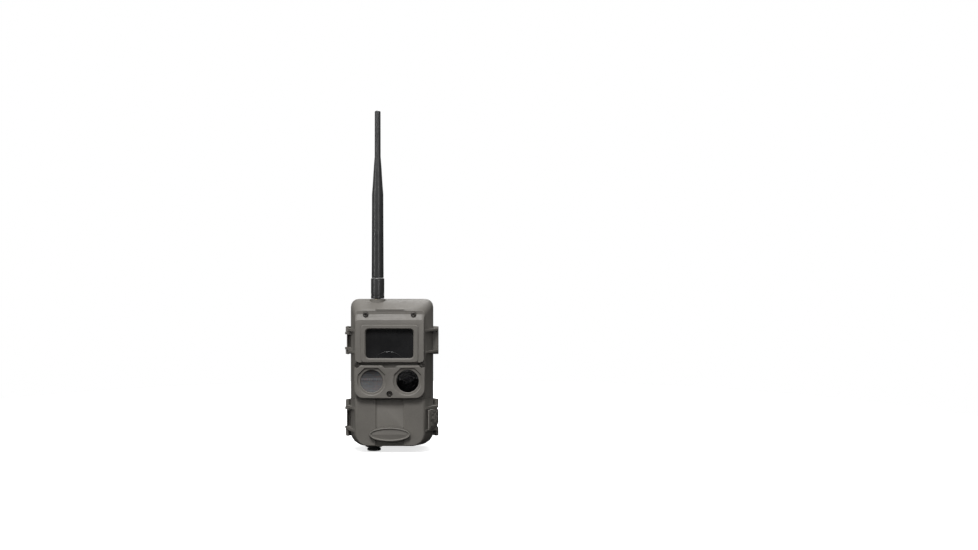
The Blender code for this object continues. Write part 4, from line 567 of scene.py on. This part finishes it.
def make_badge():
    """Blank oval plate: a raised rolled rim around a softly domed field."""
    low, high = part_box("badge_plate")
    x, z = (low[0] + high[0]) / 2, (low[2] + high[2]) / 2
    half_x, half_z = (high[0] - low[0]) / 2, (high[2] - low[2]) / 2
    back, front = high[1], low[1]
    steps, dome = 96, 5
    rim, roll, side = 1.6 * MM, 0.5 * MM, 1.0 * MM
    field, field_sink, field_rise = rim + 1.0 * MM, 0.66 * MM, 0.36 * MM
    sections = [(0.0, back), (0.0, front + side)]
    for angle in (math.radians(turn) for turn in (0, 30, 60, 90)):
        sections.append((roll * (1 - math.cos(angle)), front + roll * (1 - math.sin(angle))))
    sections += [(rim - roll, front), (rim - 0.2 * MM, front + 0.2 * MM), (rim, front + 0.6 * MM)]
    for i in range(dome + 1):
        share = i / dome
        inset = field + (half_z - field - 0.1 * MM) * share
        sections.append((inset, front + field_sink - field_rise * share))
    bm = bmesh.new()
    rows = [oval(bm, (x, y, z), half_x - inset, half_z - inset, steps) for inset, y in sections]
    bridge(bm, rows)
    bm.faces.new(rows[0])
    bm.faces.new(rows[-1])
    stand_in("badge_plate", bm, 50)


# ---------------------------------------------------------------- motion sensor film

def film_relief(x, z):
    """Height of the film's pattern: a scalloped band just above the middle, with ribs on both sides."""
    band_height, band, pitch, rib = 1.2 * MM, 1.6 * MM, 1.75 * MM, 0.9 * MM
    swell, lobe, rib_above, rib_below = 0.12 * MM, 0.2 * MM, 0.10 * MM, 0.04 * MM
    away = z - band_height
    if abs(away) < band:
        lobes = abs(math.sin(math.pi * x / pitch))
        return (swell + lobe * lobes) * math.cos(math.pi / 2 * away / band)
    return (rib_above if z > 0 else rib_below) * abs(math.sin(math.pi * z / (2 * rib)))


def make_pir_film():
    """Film sunk towards its middle, with a scalloped band across it and fine ribs below and above."""
    low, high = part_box("pir_lens")
    centre = Vector(((low[0] + high[0]) / 2, high[1], (low[2] + high[2]) / 2))
    pane = (high[0] - low[0]) / 2
    clear, flat, rim_step = 11.0 * MM, 0.7 * MM, 0.1 * MM
    dome = (high[1] - low[1]) - flat
    rings, spokes, border = 64, 132, 8
    bm = bmesh.new()
    tip = bm.verts.new(centre + Vector((0, -flat - film_relief(0, 0), 0)))
    rows = []
    for ring in range(1, rings + 1):
        radius = clear * ring / rings
        fade = min(1.0, border * (1 - ring / rings))
        bowl = flat + (dome - rim_step) * (radius / clear) ** 2 * 0.9
        row = []
        for spoke in range(spokes):
            angle = 2 * math.pi * spoke / spokes
            x, z = radius * math.cos(angle), radius * math.sin(angle)
            height = min(bowl + fade * film_relief(x, z), flat + dome)
            row.append(bm.verts.new(centre + Vector((x, -height, z))))
        rows.append(row)
    for height in (flat, 0.0):
        rows.append(oval(bm, centre - Vector((0, height, 0)), pane, pane, spokes))
    for i in range(spokes):
        bm.faces.new((tip, rows[0][i], rows[0][(i + 1) % spokes]))
    bridge(bm, rows)
    bm.faces.new(rows[-1])
    stand_in("pir_lens", bm, 60)


# ---------------------------------------------------------------- lens and flash

def make_lens():
    """Stepped black barrel with a coated element, behind a flat round pane."""
    low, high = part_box("lens_barrel")
    x, z = (low[0] + high[0]) / 2, (low[2] + high[2]) / 2
    front, length = low[1], high[1] - low[1]
    rim = (high[0] - low[0]) / 2
    steps, ledge = 7, 0.35 * MM
    inner, mouth, floor, bottom = 4.6 * MM, rim - 1.0 * MM, 3.2 * MM, 6.2 * MM
    tail, flange, chamfer = rim - 1.6 * MM, 4.0 * MM, 0.4 * MM
    barrel = [(0, length), (tail, length), (tail, flange + chamfer), (rim, flange)]
    barrel += [(rim, chamfer), (rim - chamfer, 0.0), (mouth, 0.0)]
    for i in range(1, steps + 1):
        share = i / steps
        radius = mouth + (inner - mouth) * share
        barrel += [(radius + ledge, floor * share), (radius, floor * share)]
    barrel += [(inner, bottom), (0, bottom)]
    stand_in("lens_barrel", turned(barrel, (x, front, z), ALONG_Y), 25)

    glass = size("lens_element").x / 2
    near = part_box("lens_element")[0][1] - front
    crown, thickness, crown_steps = 1.5 * MM, 2.0 * MM, 10
    element = [(0, near + thickness), (glass, near + thickness), (glass, near + crown)]
    for i in range(1, crown_steps):
        angle = math.pi / 2 * i / crown_steps
        element.append((glass * math.cos(angle), near + crown * (1 - math.sin(angle))))
    element.append((0, near))
    stand_in("lens_element", turned(element, (x, front, z), ALONG_Y), finishes=(LENS_COAT,))

    low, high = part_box("camera_window")
    radius, thick, fillet = (high[0] - low[0]) / 2, high[1] - low[1], 0.2 * MM
    pane = [(0, 0)] + rounded(radius, 0, fillet, -1, 3)[::-1]
    pane += rounded(radius, thick, fillet, 1, 3) + [(0, thick)]
    stand_in("camera_window", turned(pane, (x, low[1], z), ALONG_Y))


def make_emitters():
    """Rows of dark emitter domes behind the filter, with a gap for the light sensor's hood."""
    columns, rows, pitch, radius = 11, 6, 4.1 * MM, 1.45 * MM
    hood_rows, hood_columns = range(0, 2), range(3, 8)
    sink, tallest = 0.1 * MM, 0.9 * MM
    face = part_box("flash_board")[0][1]
    board = middle("flash_board")
    bm = bmesh.new()
    for column in range(columns):
        for row in range(rows):
            if row in hood_rows and column in hood_columns:
                continue
            centre = Vector((board.x + (column - (columns - 1) / 2) * pitch, face + sink,
                             board.z + (row - (rows - 1) / 2) * pitch))
            made = bmesh.ops.create_uvsphere(bm, u_segments=16, v_segments=8, radius=radius)
            bmesh.ops.translate(bm, verts=made["verts"], vec=centre)
    for vert in bm.verts:
        vert.co.y = max(vert.co.y, face - tallest)
    extra("flash_emitters", bm, "flash_board", "smoked_filter")


def make_sensor_rim():
    """Arched rim of the light sensor's window, which thins out towards its ends."""
    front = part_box("flash_window")[0][1]
    low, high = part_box("photocell_hood")
    half = (high[0] - low[0]) / 2 - 0.4 * MM
    rise = high[2] - low[2] - 0.3 * MM
    radius = (half * half + rise * rise) / (2 * rise)
    centre = Vector(((low[0] + high[0]) / 2, 0, high[2] - radius))
    reach = math.asin(half / radius)
    lip, proud, seat, thinnest, steps = 0.3 * MM, 0.2 * MM, 0.1 * MM, 0.15, 40
    bm = bmesh.new()
    rings = []
    for i in range(steps + 1):
        angle = -reach + 2 * reach * i / steps
        thin = max(thinnest, 1 - abs(2 * i / steps - 1) ** 6)
        out = Vector((math.sin(angle), 0, math.cos(angle)))
        section = [(radius - lip * thin, front + seat), (radius - lip * thin * 0.5, front - proud * thin),
                   (radius, front - proud * thin * 0.6), (radius + seat * thin, front + seat)]
        rings.append([bm.verts.new(centre + out * away + Vector((0, depth, 0))) for away, depth in section])
    bridge(bm, rings)
    bm.faces.new(rings[0])
    bm.faces.new(rings[-1])
    extra("sensor_window_rim", bm, "flash_window", "antenna_plastic", 60)


# ---------------------------------------------------------------- latch

LATCH_CORNER = 3.0 * MM


def make_latch():
    """Lever with cut corners at its free end."""
    low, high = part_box("latch_lever")
    lever = solid("latch_lever")
    for side, level in ((1, high[2]), (-1, low[2])):
        geometry = list(lever.verts) + list(lever.edges) + list(lever.faces)
        cut = bmesh.ops.bisect_plane(lever, geom=geometry, plane_co=(high[0] - LATCH_CORNER, 0, level),
                                     plane_no=(1, 0, side), clear_outer=True)
        rim = [item for item in cut["geom_cut"] if isinstance(item, bmesh.types.BMEdge)]
        bmesh.ops.edgeloop_fill(lever, edges=rim)
    round_edges(stand_in("latch_lever", lever), 0.5 * MM, 3)


def make_grip_pad():
    """Pad of soft irregular relief on the lever's outer face, inside its cut corners."""
    low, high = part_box("latch_lever")
    tip_reach, face_reach, end_gap = 2 * MM, 25 * MM, 1.2 * MM
    margin, tallest, lift, seat, pebble = 0.9 * MM, 0.9 * MM, 0.08 * MM, 0.3 * MM, 2.6 * MM
    across, tall, border, seed = 60, 64, 9, 3.7
    points = [vertex.co for vertex in NODES["latch_lever"].data.vertices]
    near = max((p for p in points if p.y < low[1] + tip_reach), key=lambda p: p.x)
    far = max((p for p in points if p.y < low[1] + face_reach), key=lambda p: p.x)
    start = Vector((near.x, near.y, 0))
    along = Vector((far.x - near.x, far.y - near.y, 0))
    length = along.length
    along.normalize()
    outward = Vector((along.y, -along.x, 0))
    bottom, height = low[2] + end_gap, high[2] - low[2] - 2 * end_gap
    bm = bmesh.new()
    grid = []
    for i in range(across + 1):
        u = i / across
        foot = start + along * (margin + (length - 2 * margin) * u)
        squeeze = max(0.0, foot.x - high[0] + LATCH_CORNER)
        line = []
        for j in range(tall + 1):
            v = j / tall
            spot = Vector((length * u / pebble, height * v / pebble * 0.8, seed))
            wave = noise.noise(spot) + 0.4 * noise.noise(spot * 2.1)
            bump = 0.5 + 0.5 * math.tanh(4.0 * wave)
            fade = min(1.0, border * min(u, 1 - u, v, 1 - v))
            point = foot + outward * (lift + tallest * bump * fade)
            point.z = bottom + squeeze + (height - 2 * squeeze) * v
            line.append(bm.verts.new(point))
        grid.append(line)
    for i in range(across):
        for j in range(tall):
            bm.faces.new((grid[i][j], grid[i + 1][j], grid[i + 1][j + 1], grid[i][j + 1]))
    sunk = bmesh.ops.extrude_face_region(bm, geom=list(bm.faces))
    for item in sunk["geom"]:
        if isinstance(item, bmesh.types.BMVert):
            item.co = item.co - outward * (tallest + seat)
    extra("latch_grip_pad", bm, "latch_lever", "taupe_plastic", 60)


# ---------------------------------------------------------------- batteries

def make_cells():
    """Each cell: a sleeve with a copper-toned band at the positive end, and plated end caps."""
    nub, nub_radius, nub_fillet = 1.6 * MM, 4.75 * MM, 0.6 * MM
    curl, curl_width, cap_width, cap_sink = 1.1 * MM, 3.2 * MM, 4 * MM, 0.5 * MM
    foot_sink, band, cap_reach, points_up = 0.3 * MM, 15 * MM, 3.3 * MM, 2
    jacket, copper, plated = 0, 1, 2
    for index, node in enumerate(CELLS):
        low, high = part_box(node)
        x, y = (low[0] + high[0]) / 2, (low[1] + high[1]) / 2
        axis, foot = (UP, low[2]) if index < points_up else (DOWN, high[2])
        radius, length = (high[0] - low[0]) / 2, high[2] - low[2]
        body = length - nub
        profile = [(0, foot_sink), (radius - cap_width, foot_sink), (radius - curl_width, 0)]
        profile += rounded(radius, 0, curl, -1)[::-1] + [(radius, body - band)]
        profile += rounded(radius, body, curl)
        profile += [(radius - curl_width, body), (radius - cap_width, body - cap_sink),
                    (nub_radius + nub_fillet, body - cap_sink)]
        profile += rounded(nub_radius, length, nub_fillet, 1, 3) + [(0, length)]
        finishes = (FINISHES["cell_jacket"], CELL_BAND, FINISHES["bright_steel"])
        cell = stand_in(node, turned(profile, (x, y, foot), axis, 48), finishes=finishes)
        for face in cell.data.polygons:
            height = abs(face.center.z - foot)
            distance = math.hypot(face.center.x - x, face.center.y - y)
            if distance < radius - cap_reach:
                face.material_index = plated
            else:
                face.material_index = copper if height > body - band else jacket


# ---------------------------------------------------------------- controls

def ring_mark(bm, x, front, z):
    """Raised ring on the middle key."""
    outer, inner, sink, steps = 1.5 * MM, 1.0 * MM, 0.3 * MM, 32
    corners = ((outer, -sink), (outer, 0.0), (inner, 0.0), (inner, -sink))
    rings = [oval(bm, (x, front + lift, z), radius, radius, steps) for radius, lift in corners]
    bridge(bm, rings + rings[:1])


def arrow_mark(bm, x, front, z, turn):
    """Raised arrow on a direction key."""
    spin = Matrix.Rotation(math.radians(turn), 3, "Y")
    corners = ((0, 1.5 * MM), (-1.3 * MM, -0.8 * MM), (1.3 * MM, -0.8 * MM))
    rows = []
    for lift, share in ((-0.3 * MM, 1.0), (-0.05 * MM, 1.0), (0.0, 0.85)):
        centre = Vector((x, front + lift, z))
        rows.append([bm.verts.new(centre + spin @ Vector((cx * share, 0, cz * share))) for cx, cz in corners])
    bridge(bm, rows)
    bm.faces.new(rows[0])
    bm.faces.new(rows[-1])


def make_buttons():
    """Rubber keys with rounded tops; raised arrows on four of them and a ring on the middle one."""
    rim, flange_height, fillet, dish = 0.8 * MM, 0.8 * MM, 0.7 * MM, 0.1 * MM
    turns = {"button_up": 0, "button_left": 90, "button_down": 180, "button_right": 270, "button_ok": None}
    for node, turn in turns.items():
        low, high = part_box(node)
        x, z = (low[0] + high[0]) / 2, (low[2] + high[2]) / 2
        flange, top = (high[0] - low[0]) / 2, high[1] - low[1]
        key = flange - rim
        profile = [(0, 0), (flange, 0), (flange, flange_height), (key, flange_height)]
        profile += rounded(key, top, fillet) + [(key * 0.4, top - dish * 0.8), (0, top - dish)]
        stand_in(node, turned(profile, (x, low[1], z), ALONG_Y, 48))
        bm = bmesh.new()
        if turn is None:
            ring_mark(bm, x, high[1], z)
        else:
            arrow_mark(bm, x, high[1], z, turn)
        extra(node + "_mark", bm, node, "black_plastic", 20)


def make_plug():
    """Rubber port plug: flange, waist and pull disc as one soft turned shape."""
    low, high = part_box("port_plug")
    x, y = (low[0] + high[0]) / 2, (low[1] + high[1]) / 2
    flange, length = (high[0] - low[0]) / 2, 5.6 * MM
    case = low[2] + length
    top = high[2] - case
    disc, neck, stem = 6.9 * MM, 5.2 * MM, 2.5 * MM
    seat, tip, waist_edge, dish = 0.3 * MM, 0.6 * MM, 0.5 * MM, 0.25 * MM
    profile = [(0, -top), (stem - tip, -top), (stem, tip - top), (stem, seat)]
    profile += rounded(flange, seat, 0.35 * MM, -1)[::-1]
    profile += [(flange - 0.2 * MM, 1.2 * MM), (flange - 1.0 * MM, 1.7 * MM)]
    profile += [(neck + waist_edge, 2.0 * MM), (neck, 2.4 * MM)]
    profile += [(neck, length - 3.0 * MM), (neck + waist_edge, length - 2.7 * MM)]
    profile += rounded(disc, length - 2.6 * MM, 0.5 * MM, -1)[::-1] + rounded(disc, length, 0.9 * MM)
    profile += [(disc * 0.5, length - dish), (0, length - dish)]
    stand_in("port_plug", turned(profile, (x, y, case), DOWN))


make_antenna()
make_badge()
make_pir_film()
make_lens()
make_emitters()
make_sensor_rim()
make_latch()
make_grip_pad()
make_cells()
make_buttons()
make_plug()

for node_name, node_object in NODES.items():
    if not node_object.hide_render:
        for material_slot in node_object.material_slots:
            material_slot.material = FINISHES[SLOT_OF[node_name]]


# ---------------------------------------------------------------- studio

CAMERA_RIGHT = 0.0992
CAMERA_UP = 0.0984
CAMERA_AWAY = 1.1946           # from the part's foremost point
FOCAL_LENGTH = 44.17           # in millimetres, as the camera takes it
SENSOR_WIDTH = 36.0
SKY_LOW = 0.03
SKY_HIGH = 0.75
FLOOR_RADIUS = 0.75
FLOOR_GAP = 0.5 * MM
FLOOR_GLOW = 0.72
AIM = (0, cad_box[0][1], 0.03)
LAMPS = {                      # place, width, height, power
    "key": ((-0.14, -0.86, 1.2), 0.5, 0.4, 19.5),
    "left_strip": ((-1.10, -0.74, 0.3), 0.14, 1.3, 3.6),
    "right_strip": ((0.55, -1.33, 0.3), 0.1, 1.3, 2.6),
    "back_fill": ((0.3, 1.3, 1.3), 0.8, 0.5, 10.0),
}


def make_camera():
    """Level and square to the front, from a point to the right of the case and above its middle."""
    lens = bpy.data.cameras.new("camera")
    lens.lens = FOCAL_LENGTH
    lens.sensor_width = SENSOR_WIDTH
    camera = bpy.data.objects.new("camera", lens)
    bpy.context.scene.collection.objects.link(camera)
    camera.location = (CAMERA_RIGHT, cad_box[0][1] - CAMERA_AWAY, CAMERA_UP)
    camera.rotation_euler = (math.radians(90), 0, 0)
    bpy.context.scene.camera = camera


def make_lamp(name, place, width, height, power):
    light = bpy.data.lights.new(name, "AREA")
    light.shape = "RECTANGLE"
    light.size = width
    light.size_y = height
    light.energy = power
    lamp = bpy.data.objects.new(name, light)
    bpy.context.scene.collection.objects.link(lamp)
    lamp.location = place
    lamp.rotation_euler = (Vector(AIM) - Vector(place)).to_track_quat("-Z", "Y").to_euler()


def make_world():
    """White to the camera; as a light it is dim from the sides and below, and grows brighter overhead."""
    world = bpy.data.worlds.new("studio")
    bpy.context.scene.world = world
    world.use_nodes = True
    nodes, links = world.node_tree.nodes, world.node_tree.links
    seen = nodes["Background"]
    seen.inputs["Color"].default_value = (1, 1, 1, 1)
    lit = nodes.new("ShaderNodeBackground")
    place = nodes.new("ShaderNodeTexCoord")
    axes = nodes.new("ShaderNodeSeparateXYZ")
    links.new(place.outputs["Generated"], axes.inputs["Vector"])
    overhead = nodes.new("ShaderNodeMapRange")
    limits = {"From Min": -0.1, "From Max": 0.95, "To Min": SKY_LOW, "To Max": SKY_HIGH}
    for socket, number in limits.items():
        overhead.inputs[socket].default_value = number
    overhead.interpolation_type = "SMOOTHSTEP"
    links.new(axes.outputs["Z"], overhead.inputs["Value"])
    links.new(overhead.outputs["Result"], lit.inputs["Strength"])
    path = nodes.new("ShaderNodeLightPath")
    choice = nodes.new("ShaderNodeMixShader")
    links.new(path.outputs["Is Camera Ray"], choice.inputs["Fac"])
    links.new(lit.outputs["Background"], choice.inputs[1])
    links.new(seen.outputs["Background"], choice.inputs[2])
    links.new(choice.outputs["Shader"], nodes["World Output"].inputs["Surface"])


def make_floor():
    """Pale round floor just under the plug; it doesn't throw light back up at the object."""
    bm = bmesh.new()
    bmesh.ops.create_circle(bm, cap_ends=True, segments=96, radius=FLOOR_RADIUS)
    mesh = bpy.data.meshes.new("floor")
    bm.to_mesh(mesh)
    bm.free()
    floor = bpy.data.objects.new("floor", mesh)
    bpy.context.scene.collection.objects.link(floor)
    floor.location = (0, 0, cad_box[0][2] - FLOOR_GAP)
    cloud = 0.4
    tree = Tree("floor_look")
    tree.colour(tree.ramp(tree.noise(cloud), (0.3, (0.93, 0.93, 0.93)), (0.7, (0.96, 0.96, 0.96))))
    tree.set(Roughness=0.9, Specular_IOR_Level=0.1, Emission_Color=(1, 1, 1), Emission_Strength=FLOOR_GLOW)
    mesh.materials.append(tree.material)
    floor.visible_glossy = False
    floor.visible_diffuse = False


make_camera()
make_world()
make_floor()
for lamp_name, settings in LAMPS.items():
    make_lamp(lamp_name, *settings)
bpy.context.scene.view_settings.view_transform = "Standard"
